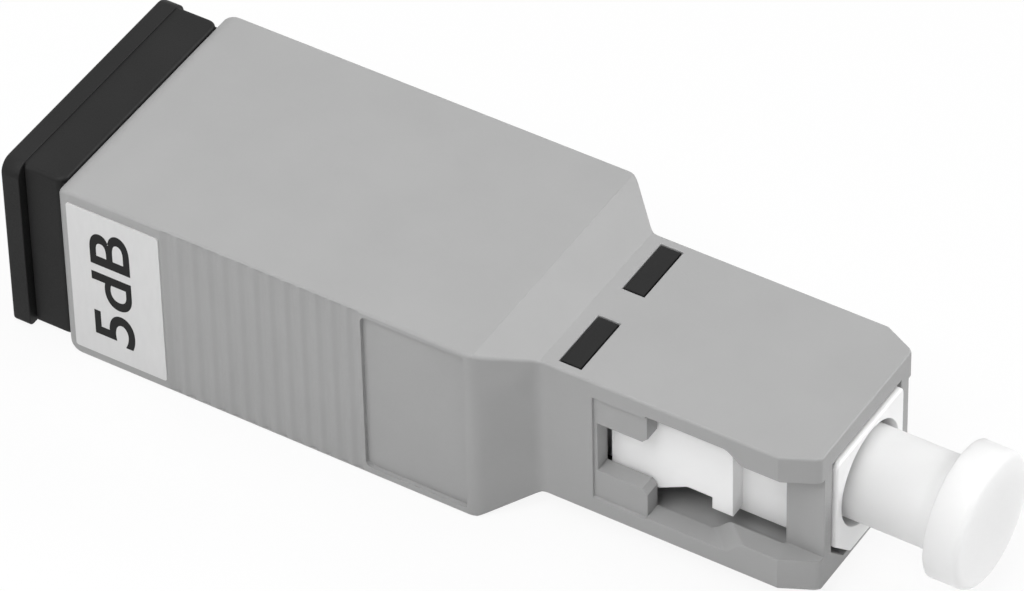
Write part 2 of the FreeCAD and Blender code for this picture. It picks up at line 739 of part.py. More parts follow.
def make_ferrule_spring():
    """Compression spring with closed end coils, wound along X."""
    x0 = X_SPRING_SEAT + SPRING_END_PLAY + SPRING_WIRE / 2
    x1 = X_COLLAR - SPRING_END_PLAY - SPRING_WIRE / 2
    dead_pitch = SPRING_DEAD_PITCH * SPRING_WIRE
    pitch = (x1 - x0 - 2 * SPRING_DEAD * dead_pitch) / SPRING_ACTIVE
    turns = SPRING_ACTIVE + 2 * SPRING_DEAD
    steps = int(turns * SPRING_STEPS)
    rings = []
    for i in range(steps + 1):
        turn = turns * i / steps
        low = min(turn, SPRING_DEAD)
        middle = min(max(turn - SPRING_DEAD, 0), SPRING_ACTIVE)
        high = max(turn - SPRING_DEAD - SPRING_ACTIVE, 0)
        angle = 2 * math.pi * turn
        outward = V(0, math.cos(angle), math.sin(angle))
        centre = outward * SPRING_MEAN_R + V(x0 + (low + high) * dead_pitch + middle * pitch, 0, 0)
        points = []
        for k in range(SPRING_SIDES):
            around = 2 * math.pi * (k + 0.5) / SPRING_SIDES
            reach = SPRING_WIRE / 2
            points.append(centre + V(reach * math.cos(around), 0, 0) + outward * (reach * math.sin(around)))
        rings.append(wire_of(points))
    return Part.makeLoft(rings, True, True)


def make_dust_cap():
    r = CAP_ROUND
    flare = []
    turns = [math.pi / 2 * i / ROUND_STEPS for i in range(ROUND_STEPS + 1)]
    for t in turns:
        x = X_CAP_FLARE + CAP_FLARE * math.sin(t)
        radius = CAP_TUBE_R + (CAP_DISC_R - CAP_TUBE_R) * (1 - math.cos(t))
        flare.append((x, radius))
    edge = []
    for t in turns:
        edge.append((X_CAP_END - r + r * math.sin(t), CAP_DISC_R - r + r * math.cos(t)))
    return turned(
        [(X_CAP, CAP_BORE_R), (X_CAP, CAP_TUBE_R - CAP_MOUTH), (X_CAP + CAP_MOUTH, CAP_TUBE_R)]
        + flare
        + edge
        + [(X_CAP_END, 0), (X_TIP + CAP_AIR, 0), (X_TIP + CAP_AIR, CAP_BORE_R)]
    )


outer_housing = make_outer_housing()
outer_housing.exportStep("parts/outer_housing.step")

receptacle_body = make_receptacle_body()
receptacle_body.exportStep("parts/receptacle_body.step")

value_label = make_value_label()
value_label.exportStep("parts/value_label.step")

plug_frame = make_plug_frame()
plug_frame.exportStep("parts/plug_frame.step")

port_latch = make_port_latch()
port_latch.exportStep("parts/port_latch.step")

inner_body = make_inner_body()
inner_body.exportStep("parts/inner_body.step")

alignment_sleeve = make_alignment_sleeve()
alignment_sleeve.exportStep("parts/alignment_sleeve.step")

ferrule = make_ferrule()
ferrule.exportStep("parts/ferrule.step")

ferrule_collar = make_ferrule_collar()
ferrule_collar.exportStep("parts/ferrule_collar.step")

attenuating_fibre = make_attenuating_fibre()
attenuating_fibre.exportStep("parts/attenuating_fibre.step")

ferrule_spring = make_ferrule_spring()
ferrule_spring.exportStep("parts/ferrule_spring.step")

dust_cap = make_dust_cap()
dust_cap.exportStep("parts/dust_cap.step")
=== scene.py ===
"""Dressed scene of a plug-and-socket fibre attenuator.

Pieces are modelled in millimetres and scaled to metres when they are finished.
X runs from the port's flange to the plug's tip, Z is up, and the optical axis is Y = Z = 0.
"""

import logging
import math
from collections.abc import Callable
from dataclasses import dataclass
from enum import Enum

import bmesh
import bpy
from mathutils import Matrix, Vector


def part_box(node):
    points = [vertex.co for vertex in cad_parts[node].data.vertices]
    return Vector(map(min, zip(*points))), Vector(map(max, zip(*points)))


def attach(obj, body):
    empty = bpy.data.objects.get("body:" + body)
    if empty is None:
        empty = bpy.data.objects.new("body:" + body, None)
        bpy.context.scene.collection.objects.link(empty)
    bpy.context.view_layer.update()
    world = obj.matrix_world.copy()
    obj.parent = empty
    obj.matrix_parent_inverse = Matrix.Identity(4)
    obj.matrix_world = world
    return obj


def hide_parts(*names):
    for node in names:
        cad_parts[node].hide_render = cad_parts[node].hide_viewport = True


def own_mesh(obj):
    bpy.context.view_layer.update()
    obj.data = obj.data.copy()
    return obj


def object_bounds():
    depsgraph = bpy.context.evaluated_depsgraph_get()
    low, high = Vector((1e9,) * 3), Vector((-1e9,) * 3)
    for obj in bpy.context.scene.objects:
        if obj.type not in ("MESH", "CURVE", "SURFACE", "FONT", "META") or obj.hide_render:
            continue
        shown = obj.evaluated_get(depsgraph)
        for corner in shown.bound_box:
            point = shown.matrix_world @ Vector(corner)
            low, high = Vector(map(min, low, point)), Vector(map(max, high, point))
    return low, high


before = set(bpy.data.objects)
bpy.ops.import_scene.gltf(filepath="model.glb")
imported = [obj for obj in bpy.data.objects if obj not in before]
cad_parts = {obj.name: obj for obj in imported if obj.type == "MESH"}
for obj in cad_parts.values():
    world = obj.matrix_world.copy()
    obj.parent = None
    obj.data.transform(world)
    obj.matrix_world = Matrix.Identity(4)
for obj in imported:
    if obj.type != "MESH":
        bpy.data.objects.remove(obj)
CAD_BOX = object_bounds()

LOG = logging.getLogger("attenuator")
MM = 0.001
# In millimetres: how far a cutter runs past the face that it opens, and the play of a match.
PAST = 0.5
TINY = 1e-3
# Least share of a direction that counts as running along an axis.
FLAT = 0.9
# In degrees: least turn of a square edge, of a cut edge and of a faint crease,
# and the most turn at which faces shade as one and merge into one.
SQUARE_TURN = 60.0
CUT_TURN = 40.0
FAINT_TURN = 12.0
SMOOTH_TURN = 32.0
MERGE_TURN = 1.0
# Part of a noise's range that is cut off at each end.
NOISE_TAIL = 0.3

Point = tuple[float, float, float]
Span = tuple[float, float]
Colour = tuple[float, float, float, float]
Edge = bmesh.types.BMEdge
Face = bmesh.types.BMFace
Socket = bpy.types.NodeSocket
EdgeTest = Callable[[Edge], bool]
FaceTest = Callable[[Face], bool]


class Join(Enum):
    """Ways to combine two solids."""

    ADD = "UNION"
    CUT = "DIFFERENCE"


class Pick(Enum):
    """Parts of a mesh that are selected."""

    EDGES = "EDGE"
    FACES = "FACE"


class Across(Enum):
    """Axes that a mirror turns round."""

    Y = 1
    Z = 2


class Body(Enum):
    """Moving bodies of the attenuator."""

    SHELL = "shell"
    CORE = "core"
    FERRULE = "ferrule_unit"
    CAP = "cap"


def grey(level: float) -> Colour:
    """Gives a neutral colour of a linear level."""
    return (level, level, level, 1.0)


def node_box(node: str) -> tuple[Vector, Vector]:
    """Gives a CAD node's box in millimetres.

    Args:
        node: Name of the node.

    Returns:
        Lowest and highest corner.
    """
    low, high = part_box(node)
    return low / MM, high / MM


def clear_bench() -> None:
    """Goes back to object mode with nothing selected."""
    active = bpy.context.view_layer.objects.active
    if active is not None and active.mode != "OBJECT":
        bpy.ops.object.mode_set(mode="OBJECT")
    bpy.ops.object.select_all(action="DESELECT")


def middle(edge: Edge) -> Vector:
    """Gives an edge's midpoint."""
    return (edge.verts[0].co + edge.verts[1].co) / 2


def run(edge: Edge) -> Vector:
    """Gives an edge's direction, without its sense."""
    step = (edge.verts[1].co - edge.verts[0].co).normalized()
    return Vector((abs(step.x), abs(step.y), abs(step.z)))


def turn(edge: Edge) -> float:
    """Gives the angle between an edge's two faces, in degrees."""
    return math.degrees(edge.calc_face_angle(0.0))


def lies_at(edge: Edge, x: float) -> bool:
    """Says whether an edge lies across the optical axis at a place along it."""
    return run(edge).x < TINY and abs(middle(edge).x - x) < TINY


class Solid:
    """A mesh under the hand tools, in millimetres until it is finished."""

    def __init__(self, thing: bpy.types.Object) -> None:
        """Takes up an object as a solid."""
        self.thing = thing

    @classmethod
    def block(cls, name: str, low: Point, high: Point) -> "Solid":
        """Adds a block between two corners.

        Args:
            name: Name of the new object.
            low: Lowest corner.
            high: Highest corner.

        Returns:
            The new solid.
        """
        clear_bench()
        size = Vector(high) - Vector(low)
        bpy.ops.mesh.primitive_cube_add(size=1, location=(Vector(low) + Vector(high)) / 2, scale=size)
        bpy.ops.object.transform_apply(location=True, rotation=True, scale=True)
        made = bpy.context.object
        made.name = name
        return cls(made)

    @classmethod
    def bar(cls, name: str, x0: float, x1: float, half_y: float, half_z: float) -> "Solid":
        """Adds a block around the optical axis.

        Args:
            name: Name of the new object.
            x0: Rear face.
            x1: Front face.
            half_y: Half of its width.
            half_z: Half of its height.

        Returns:
            The new solid.
        """
        return cls.block(name, (x0, -half_y, -half_z), (x1, half_y, half_z))

    @classmethod
    def rod(cls, name: str, radius: float, x0: float, x1: float, sides: int = 72) -> "Solid":
        """Adds a rod along the optical axis.

        Args:
            name: Name of the new object.
            radius: Radius of the rod.
            x0: Rear end.
            x1: Front end.
            sides: Number of flats around it.

        Returns:
            The new solid.
        """
        clear_bench()
        bpy.ops.mesh.primitive_cylinder_add(
            vertices=sides, radius=radius, depth=x1 - x0,
            location=((x0 + x1) / 2, 0, 0), rotation=(0, math.pi / 2, 0),
        )
        bpy.ops.object.transform_apply(location=True, rotation=True, scale=True)
        made = bpy.context.object
        made.name = name
        return cls(made)

    @classmethod
    def copy_of(cls, name: str, node: str) -> "Solid":
        """Copies a CAD node's mesh, with its loose triangles merged into flat faces.

        Args:
            name: Name of the new object.
            node: Name of the CAD node.

        Returns:
            The new solid, in millimetres.
        """
        clear_bench()
        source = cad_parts[node]
        made = bpy.data.objects.new(name, source.data.copy())
        bpy.context.scene.collection.objects.link(made)
        solid = cls(made)
        solid.take_up()
        made.scale = (1 / MM, 1 / MM, 1 / MM)
        bpy.ops.object.transform_apply(location=True, rotation=True, scale=True)
        bpy.ops.object.mode_set(mode="EDIT")
        bpy.ops.mesh.select_all(action="SELECT")
        bpy.ops.mesh.remove_doubles(threshold=TINY)
        bpy.ops.mesh.dissolve_limited(angle_limit=math.radians(MERGE_TURN))
        bpy.ops.object.mode_set(mode="OBJECT")
        return solid

    def take_up(self) -> None:
        """Makes this the one selected object."""
        clear_bench()
        self.thing.select_set(True)
        bpy.context.view_layer.objects.active = self.thing

    def open(self, kind: Pick) -> bmesh.types.BMesh:
        """Opens the solid in edit mode with nothing selected.

        Args:
            kind: What is selected next.

        Returns:
            The open mesh.
        """
        self.take_up()
        bpy.ops.object.mode_set(mode="EDIT")
        bpy.ops.mesh.select_mode(type=kind.value)
        bpy.ops.mesh.select_all(action="DESELECT")
        return bmesh.from_edit_mesh(self.thing.data)

    def shut(self) -> "Solid":
        """Closes edit mode and gives this solid."""
        bpy.ops.object.mode_set(mode="OBJECT")
        return self

    def pick(self, kind: Pick, test: EdgeTest | FaceTest) -> int:
        """Selects edges or faces, and leaves the solid in edit mode.

        Args:
            kind: Whether edges or faces are selected.
            test: Says whether one of them is wanted.

        Returns:
            How many were selected.
        """
        mesh = self.open(kind)
        parts = mesh.edges if kind is Pick.EDGES else mesh.faces
        chosen = [part for part in parts if test(part)]
        for part in chosen:
            part.select_set(True)
        bmesh.update_edit_mesh(self.thing.data)
        return len(chosen)

    def bevel(self, test: EdgeTest, width: float, segments: int = 3, clamp: bool = True) -> "Solid":
        """Rounds the edges that a test picks.

        Args:
            test: Says whether an edge is rounded.
            width: How far the rounding reaches from the edge.
            segments: Number of steps in the rounding.
            clamp: Whether a crowded rounding is held back.

        Returns:
            This solid.
        """
        if self.pick(Pick.EDGES, test):
            bpy.ops.mesh.bevel(
                offset=width, offset_type="OFFSET", segments=segments, profile=0.5,
                affect="EDGES", clamp_overlap=clamp,
            )
        return self.shut()

    def shift_edges(self, test: EdgeTest, step: Point) -> "Solid":
        """Moves the edges that a test picks.

        Args:
            test: Says whether an edge is moved.
            step: The move.

        Returns:
            This solid.
        """
        if self.pick(Pick.EDGES, test):
            bpy.ops.transform.translate(value=step)
        return self.shut()

    def crease(self, test: EdgeTest) -> "Solid":
        """Keeps the edges that a test picks crisp in the shading.

        Args:
            test: Says whether an edge is kept crisp.

        Returns:
            This solid.
        """
        if self.pick(Pick.EDGES, test):
            bpy.ops.mesh.mark_sharp()
        return self.shut()

    def grow(
        self, length: float, scale_y: float = 1.0, scale_z: float = 1.0, axis_z: float = 0.0
    ) -> "Solid":
        """Extrudes the front end and scales the new end about a line along X.

        Args:
            length: How far the end moves along X.
            scale_y: Scale of the new end across.
            scale_z: Scale of the new end in height.
            axis_z: Height of the line that the end is scaled about.

        Returns:
            This solid.
        """
        front = max(vertex.co.x for vertex in self.thing.data.vertices)
        self.pick(
            Pick.FACES,
            lambda face: face.normal.x > FLAT and face.calc_center_median().x > front - TINY,
        )
        bpy.ops.mesh.extrude_region_move(TRANSFORM_OT_translate={"value": (length, 0, 0)})
        pivot = (front + length, 0, axis_z)
        bpy.ops.transform.resize(value=(1, scale_y, scale_z), center_override=pivot)
        return self.shut()

    def taper(self, length: float, old: Span, new: Span) -> "Solid":
        """Extrudes the front end and brings its foot and top to new heights.

        Args:
            length: How far the end moves along X.
            old: Lowest and highest point of the end so far.
            new: Lowest and highest point of the new end.

        Returns:
            This solid.
        """
        scale = (new[1] - new[0]) / (old[1] - old[0])
        return self.grow(length, scale_z=scale, axis_z=(new[1] - scale * old[1]) / (1 - scale))

    def slice(self, point: Point, normal: Point, drop: bool = False) -> "Solid":
        """Cuts all faces along a plane.

        Args:
            point: A point of the plane.
            normal: The plane's normal.
            drop: Whether what lies on the normal's side is taken off and the cut filled.

        Returns:
            This solid.
        """
        self.open(Pick.FACES)
        bpy.ops.mesh.select_all(action="SELECT")
        bpy.ops.mesh.bisect(plane_co=point, plane_no=normal, use_fill=drop, clear_outer=drop)
        return self.shut()

    def slope_corners(self, half_y: float, bottom: float, slope_y: float, slope_z: float) -> "Solid":
        """Takes off the two lower corners along X.

        Args:
            half_y: Half width of the solid.
            bottom: Depth of its underside below the axis.
            slope_y: Half width that is left of the underside.
            slope_z: Depth below the axis at which the slopes start.

        Returns:
            This solid.
        """
        for side in (1, -1):
            normal = (0, side * (bottom - slope_z), slope_y - half_y)
            self.slice((0, side * half_y, -slope_z), normal, drop=True)
        return self

    def combine(self, how: Join, *others: "Solid") -> "Solid":
        """Adds, cuts or keeps other solids, which are used up.

        Args:
            how: The way they are combined.
            others: The other solids.

        Returns:
            This solid.
        """
        for other in others:
            self.take_up()
            step = self.thing.modifiers.new("join", "BOOLEAN")
            step.operation = how.value
            step.solver = "EXACT"
            step.object = other.thing
            bpy.ops.object.modifier_apply(modifier=step.name)
            bpy.data.objects.remove(other.thing)
        return self

    def mirror(self, across: Across = Across.Y) -> "Solid":
        """Adds the mirror image across the plane of symmetry.

        Args:
            across: Axis that is turned round.

        Returns:
            This solid.
        """
        self.take_up()
        step = self.thing.modifiers.new("mirror", "MIRROR")
        step.use_axis = (False, across is Across.Y, across is Across.Z)
        step.use_mirror_merge = False
        bpy.ops.object.modifier_apply(modifier=step.name)
        return self

    def hand_over(self, finish: "Finish", body: Body, node: str, slot: str) -> bpy.types.Object:
        """Scales the piece to metres, smooths and dresses it, and lets it stand for its CAD node.

        Args:
            finish: Finish of the whole piece.
            body: Body that the piece rides on.
            node: CAD node that it stands for, or nothing.
            slot: Material slot of the record; not used.

        Returns:
            The finished object.
        """
        self.take_up()
        made = self.thing
        made.scale = (MM, MM, MM)
        bpy.ops.object.transform_apply(location=True, rotation=True, scale=True)
        bpy.ops.object.shade_smooth_by_angle(angle=math.radians(SMOOTH_TURN))
        step = made.modifiers.new("even_normals", "WEIGHTED_NORMAL")
        step.keep_sharp = True
        bpy.ops.object.modifier_apply(modifier=step.name)
        made.data.materials.clear()
        made.data.materials.append(finish.material())
        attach(made, body.value)
        if node:
            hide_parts(node)
        LOG.info("%s: %d faces", made.name, len(made.data.polygons))
        return made


class Board:
    """Node board of one material, with short ways to add and join nodes."""

    def __init__(self, name: str) -> None:
        """Opens an empty board with an output and a surface shader.

        Args:
            name: Name of the material.
        """
        self.material = bpy.data.materials.new(name)
        self.material.use_nodes = True
        self.tree = self.material.node_tree
        self.tree.nodes.clear()
        self.output = self.tree.nodes.new("ShaderNodeOutputMaterial")
        self.surface = self.tree.nodes.new("ShaderNodeBsdfPrincipled")
        self.join(self.surface.outputs["BSDF"], self.output.inputs["Surface"])
        self.place = self.tree.nodes.new("ShaderNodeTexCoord").outputs["Object"]

    def join(self, source: Socket, target: Socket) -> None:
        """Links one socket to another."""
        self.tree.links.new(source, target)

    def stretched(self, scale: Point) -> Socket:
        """Gives object coordinates with their own scale along each axis.

        Args:
            scale: Scale along X, Y and Z.

        Returns:
            The vector socket.
        """
        node = self.tree.nodes.new("ShaderNodeMapping")
        node.inputs["Scale"].default_value = scale
        self.join(self.place, node.inputs["Vector"])
        return node.outputs["Vector"]

    def noise(self, size: float, detail: float, place: Socket | None = None) -> Socket:
        """Adds noise with features of a given size.

        Args:
            size: Size of the features in millimetres.
            detail: Number of finer layers.
            place: Coordinates to use in place of plain object coordinates.

        Returns:
            The noise from 0 to 1.
        """
        node = self.tree.nodes.new("ShaderNodeTexNoise")
        node.inputs["Scale"].default_value = 1 / (size * MM)
        node.inputs["Detail"].default_value = detail
        self.join(place or self.place, node.inputs["Vector"])
        return node.outputs["Fac"]

    def ranged(self, value: Socket, low: float, high: float) -> Socket:
        """Spreads the middle of a noise over a range.

        Args:
            value: Noise from 0 to 1.
            low: Result at the noise's low end.
            high: Result at its high end.

        Returns:
            The ranged value.
        """
        node = self.tree.nodes.new("ShaderNodeMapRange")
        node.inputs["From Min"].default_value = NOISE_TAIL
        node.inputs["From Max"].default_value = 1 - NOISE_TAIL
        node.inputs["To Min"].default_value = low
        node.inputs["To Max"].default_value = high
        self.join(value, node.inputs["Value"])
        return node.outputs["Result"]

    def tones(self, factor: Socket, first: Colour, second: Colour) -> Socket:
        """Mixes two colours by a factor.

        Args:
            factor: Share of the second colour.
            first: Colour at factor 0.
            second: Colour at factor 1.

        Returns:
            The mixed colour.
        """
        node = self.tree.nodes.new("ShaderNodeMix")
        node.data_type = "RGBA"
        colours = [socket for socket in node.inputs if socket.type == "RGBA"]
        colours[0].default_value = first
        colours[1].default_value = second
        self.join(factor, node.inputs["Factor"])
        return next(socket for socket in node.outputs if socket.type == "RGBA")

    def bump(self, height: Socket, depth: float) -> None:
        """Lets a height pattern tilt the surface shader's normal.

        Args:
            height: Pattern from 0 to 1.
            depth: Depth of the pattern in millimetres.
        """
        node = self.tree.nodes.new("ShaderNodeBump")
        node.inputs["Distance"].default_value = depth * MM
        self.join(height, node.inputs["Height"])
        self.join(node.outputs["Normal"], self.surface.inputs["Normal"])


@dataclass(frozen=True)
class Finish:
    """A moulded plastic: two close tones, satin grain and a little play in its gloss."""

    name: str
    tone: Colour
    tone_spread: float = 0.05
    mottle: float = 3.0
    roughness: float = 0.45
    roughness_spread: float = 0.08
    grain: float = 0.09
    grain_depth: float = 0.004
    specular: float = 0.4
    subsurface: float = 0.0
    subsurface_reach: float = 0.6

    def shifted(self, share: float) -> Colour:
        """Gives the tone made lighter or darker by a share."""
        red, green, blue, alpha = self.tone
        return (red * (1 + share), green * (1 + share), blue * (1 + share), alpha)

    def material(self) -> bpy.types.Material:
        """Builds the material once and gives it again after that.

        Returns:
            The material.
        """
        known = bpy.data.materials.get(self.name)
        if known is not None:
            return known
        board = Board(self.name)
        self.dress(board)
        return board.material

    def tint(self, board: Board, pattern: Socket) -> None:
        """Lets a pattern play between the finish's darker and lighter tone.

        Args:
            board: Board of the material.
            pattern: Noise from 0 to 1.
        """
        share = board.ranged(pattern, 0.0, 1.0)
        mixed = board.tones(share, self.shifted(-self.tone_spread), self.shifted(self.tone_spread))
        board.join(mixed, board.surface.inputs["Base Color"])

    def polish(self, board: Board, pattern: Socket) -> None:
        """Lets a pattern play around the finish's roughness and tilt its surface.

        Args:
            board: Board of the material.
            pattern: Noise from 0 to 1.
        """
        low = self.roughness - self.roughness_spread
        high = self.roughness + self.roughness_spread
        board.join(board.ranged(pattern, low, high), board.surface.inputs["Roughness"])
        board.bump(pattern, self.grain_depth)

    def dress(self, board: Board) -> None:
        """Fills a board with this finish's nodes.

        Args:
            board: The empty board.
        """
        self.tint(board, board.noise(self.mottle, detail=4.0))
        self.polish(board, board.noise(self.grain, detail=3.0))
        inputs = board.surface.inputs
        inputs["Specular IOR Level"].default_value = self.specular
        if self.subsurface:
            inputs["Subsurface Weight"].default_value = self.subsurface
            inputs["Subsurface Radius"].default_value = (1.0, 1.0, 1.0)
            inputs["Subsurface Scale"].default_value = self.subsurface_reach * MM


@dataclass(frozen=True)
class PaperFinish(Finish):
    """Coated label stock with faint fibres along its length."""

    fibre: float = 0.25
    fibre_scale: Point = (1.0, 1.0, 0.25)

    def dress(self, board: Board) -> None:
        """Fills a board with this finish's nodes.

        Args:
            board: The empty board.
        """
        fibres = board.noise(self.fibre, detail=4.0, place=board.stretched(self.fibre_scale))
        self.tint(board, fibres)
        self.polish(board, fibres)
        board.surface.inputs["Specular IOR Level"].default_value = self.specular


@dataclass(frozen=True)
class MetalFinish(Finish):
    """Turned or drawn metal with fine rings around its axis."""

    ring: float = 0.06
    ring_scale: Point = (1.0, 0.05, 0.05)

    def dress(self, board: Board) -> None:
        """Fills a board with this finish's nodes.

        Args:
            board: The empty board.
        """
        rings = board.noise(self.ring, detail=2.0, place=board.stretched(self.ring_scale))
        self.tint(board, rings)
        self.polish(board, rings)
        board.surface.inputs["Metallic"].default_value = 1.0


@dataclass(frozen=True)
class GlassFinish(Finish):
    """Drawn glass fibre with a faint play in its gloss."""

    ior: float = 1.46
    clearness: float = 0.9

    def dress(self, board: Board) -> None:
        """Fills a board with this finish's nodes.

        Args:
            board: The empty board.
        """
        super().dress(board)
        board.surface.inputs["Transmission Weight"].default_value = self.clearness
        board.surface.inputs["IOR"].default_value = self.ior


HOUSING_GREY = Finish("grey_satin", grey(0.36), tone_spread=0.02, roughness=0.5, specular=0.35)
RECEPTACLE_BLACK = Finish(
    "black_satin", grey(0.014), tone_spread=0.1, roughness=0.5, grain=0.07, specular=0.14,
)
FRAME_WHITE = Finish(
    "white_moulded", grey(0.93), tone_spread=0.015, roughness=0.36, grain=0.12, grain_depth=0.002,
    subsurface=0.15, subsurface_reach=0.3,
)
CAP_WHITE = Finish(
    "white_soft", grey(0.79), tone_spread=0.012, roughness=0.5, grain=0.15, grain_depth=0.003,
    subsurface=1.0, subsurface_reach=2.5,
)
LABEL_PAPER = PaperFinish("white_paper", grey(0.67), tone_spread=0.02, roughness=0.5, grain_depth=0.002)
LABEL_PRINT = PaperFinish(
    "black_ink", grey(0.012), tone_spread=0.2, roughness=0.6, grain_depth=0.002, specular=0.15,
)
LATCH_PLASTIC = Finish("ivory_moulded", (0.75, 0.74, 0.71, 1.0), tone_spread=0.02, roughness=0.42)
ZIRCONIA = Finish(
    "ceramic_ground", (0.86, 0.85, 0.82, 1.0), tone_spread=0.01, roughness=0.16, roughness_spread=0.04,
    grain=0.2, grain_depth=0.0006, subsurface=0.2, subsurface_reach=0.3,
)
COLLAR_NICKEL = MetalFinish("nickel_turned", (0.66, 0.64, 0.58, 1.0), roughness=0.28, grain_depth=0.002)
SPRING_STEEL = MetalFinish("steel_drawn", (0.55, 0.55, 0.56, 1.0), roughness=0.3, grain_depth=0.001)
FIBRE_GLASS = GlassFinish(
    "glass_drawn", (0.9, 0.95, 1.0, 1.0), tone_spread=0.01, roughness=0.05, grain_depth=0.0002,
)


@dataclass
class GripHousing:
    """Grey one-piece housing: ribbed grip, sloped shoulder and square plug with latch windows."""

    body_length: float = 20.15
    shoulder_length: float = 2.0
    corner_round: float = 0.32
    hollow_round: float = 0.25
    bend_steps: tuple[float, ...] = (-1.0, -0.5, 0.0, 0.5, 1.0)
    plug_half_y: float = 4.475
    plug_half_z: float = 3.675
    tip_chamfer_x: float = 1.55
    tip_chamfer_y: float = 0.85
    tip_round_x: float = 0.2
    tip_round_y: float = 0.18
    edge_round: float = 0.16
    rim_round: float = 0.12
    rear_round_x: float = 0.7
    rear_round_y: float = 0.3
    rear_round_z: float = 0.42
    rear_steps: int = 6
    plate: float = 0.005
    wall_y: float = 0.66
    wall_z: float = 0.35
    end_wall: float = 0.5
    rib_start: float = 5.1
    rib_count: int = 13
    rib_pitch: float = 0.75
    rib_depth: float = 0.17
    rib_round: float = 0.15
    rib_clear: float = 0.004
    rib_end_gap: float = 0.06
    pocket_length: float = 4.9
    pocket_depth: float = 0.2
    pocket_top: float = 4.3
    pocket_bottom: float = 4.12
    pocket_round: float = 0.3
    key_width: float = 2.35
    key_height: float = 0.8
    key_setback: float = 1.35
    key_length: float = 8.4
    keyway_end: float = 12.0
    keyway_half_y: float = 1.25
    passage_half_y: float = 4.05
    passage_top: float = 2.7
    passage_bottom: float = 3.25
    passage_step: float = 2.5
    frame_half_y: float = 3.55
    front_wall: float = 1.75
    opening_half_y: float = 2.8
    opening_slope_y: float = 1.48
    opening_slope_z: float = 2.24
    lug_start: float = 0.65
    lug_length: float = 1.05
    lug_inner_y: float = 0.93
    lug_outer_y: float = 4.03
    recess_start: float = 2.45
    recess_depth: float = 0.15
    recess_half_z: float = 2.8
    slot_start: float = 2.6
    slot_half_z: float = 1.3
    tab_end: float = 4.95
    tab_bevel: float = 0.25
    wide_end: float = 8.55
    wide_top: float = 2.94
    wide_bottom: float = 2.74
    narrow_top: float = 2.36
    narrow_bottom: float = 2.0
    curve_length: float = 1.0
    curve_slant: float = 1.05
    curve_steps: int = 10
    channel_floor_y: float = 3.4
    cut_round: float = 0.06

    def __post_init__(self) -> None:
        """Reads the housing's ends and half sizes from the frame."""
        low, high = node_box("outer_housing")
        self.x_rear = low.x
        self.x_front = high.x
        self.half_y = high.y
        self.half_z = high.z
        self.x_shoulder = self.x_rear + self.body_length
        self.x_plug = self.x_shoulder + self.shoulder_length
        self.x_pillar = self.x_front - self.front_wall
        self.x_chamfer = self.x_front - self.tip_chamfer_x
        self.x_ribs = self.x_rear + self.rib_start
        self.x_pocket = self.x_ribs + self.rib_count * self.rib_pitch

    def ribs(self) -> Solid:
        """Models the cutter that leaves soft upright ribs, short of the housing's edges.

        Returns:
            The cutter for both sides.
        """
        skin = self.half_y + self.rib_clear
        half_length = self.half_z - self.rib_end_gap
        comb = Solid.block(
            "ribs", (self.x_ribs, skin, -half_length), (self.x_pocket, skin + PAST, half_length)
        )
        for line in range(1, 2 * self.rib_count):
            comb.slice((self.x_ribs + line * self.rib_pitch / 2, 0, 0), (1, 0, 0))
        valleys = [self.x_ribs + (rib + 0.5) * self.rib_pitch for rib in range(self.rib_count)]

        def on_skin(edge: Edge) -> bool:
            """Says whether an edge stands upright at the skin."""
            return run(edge).z > FLAT and middle(edge).y < skin + TINY

        comb.shift_edges(
            lambda edge: on_skin(edge) and any(abs(middle(edge).x - x) < TINY for x in valleys),
            (0, -self.rib_depth - self.rib_clear, 0),
        )
        comb.bevel(
            lambda edge: on_skin(edge) and self.x_ribs + TINY < middle(edge).x < self.x_pocket - TINY,
            self.rib_round, segments=4,
        )
        return comb.mirror()

    def rear_sections(self) -> list[Vector]:
        """Gives the sections of the rounded rear end.

        Returns:
            For each section its place along X, half width and half height.
        """
        sections = []
        for step in range(self.rear_steps + 1):
            angle = math.pi / 2 * step / self.rear_steps
            sections.append(Vector((
                self.x_rear + self.rear_round_x * (1 - math.cos(angle)),
                self.half_y - self.rear_round_y * (1 - math.sin(angle)),
                self.half_z - self.rear_round_z * (1 - math.sin(angle)),
            )))
        return sections

    def shoulder_sections(self) -> list[Vector]:
        """Gives the shoulder's sections, with soft corners in plan and a straight slope on top.

        Returns:
            For each section its place along X, half width and half height.
        """
        steep = (self.half_y - self.plug_half_y) / self.shoulder_length
        sections = []
        for x_bend, half_y, reach, side in (
            (self.x_shoulder, self.half_y, self.corner_round, 1),
            (self.x_plug, self.plug_half_y, self.hollow_round, -1),
        ):
            for step in self.bend_steps:
                x = x_bend + reach * step
                width = half_y - side * steep * reach * (1 + side * step) ** 2 / 4
                share = min(max((x - self.x_shoulder) / self.shoulder_length, 0.0), 1.0)
                height = self.half_z + (self.plug_half_z - self.half_z) * share
                sections.append(Vector((x, width, height)))
        return sections

    def tip_sections(self) -> list[Vector]:
        """Gives the sections of the plug's chamfered tip.

        Returns:
            For each section its place along X, half width and half height.
        """
        tip_y = self.plug_half_y - self.tip_chamfer_y
        return [
            Vector((self.x_chamfer, self.plug_half_y, self.plug_half_z)),
            Vector((self.x_front - self.tip_round_x, tip_y + self.tip_round_y, self.plug_half_z)),
            Vector((self.x_front, tip_y, self.plug_half_z)),
        ]

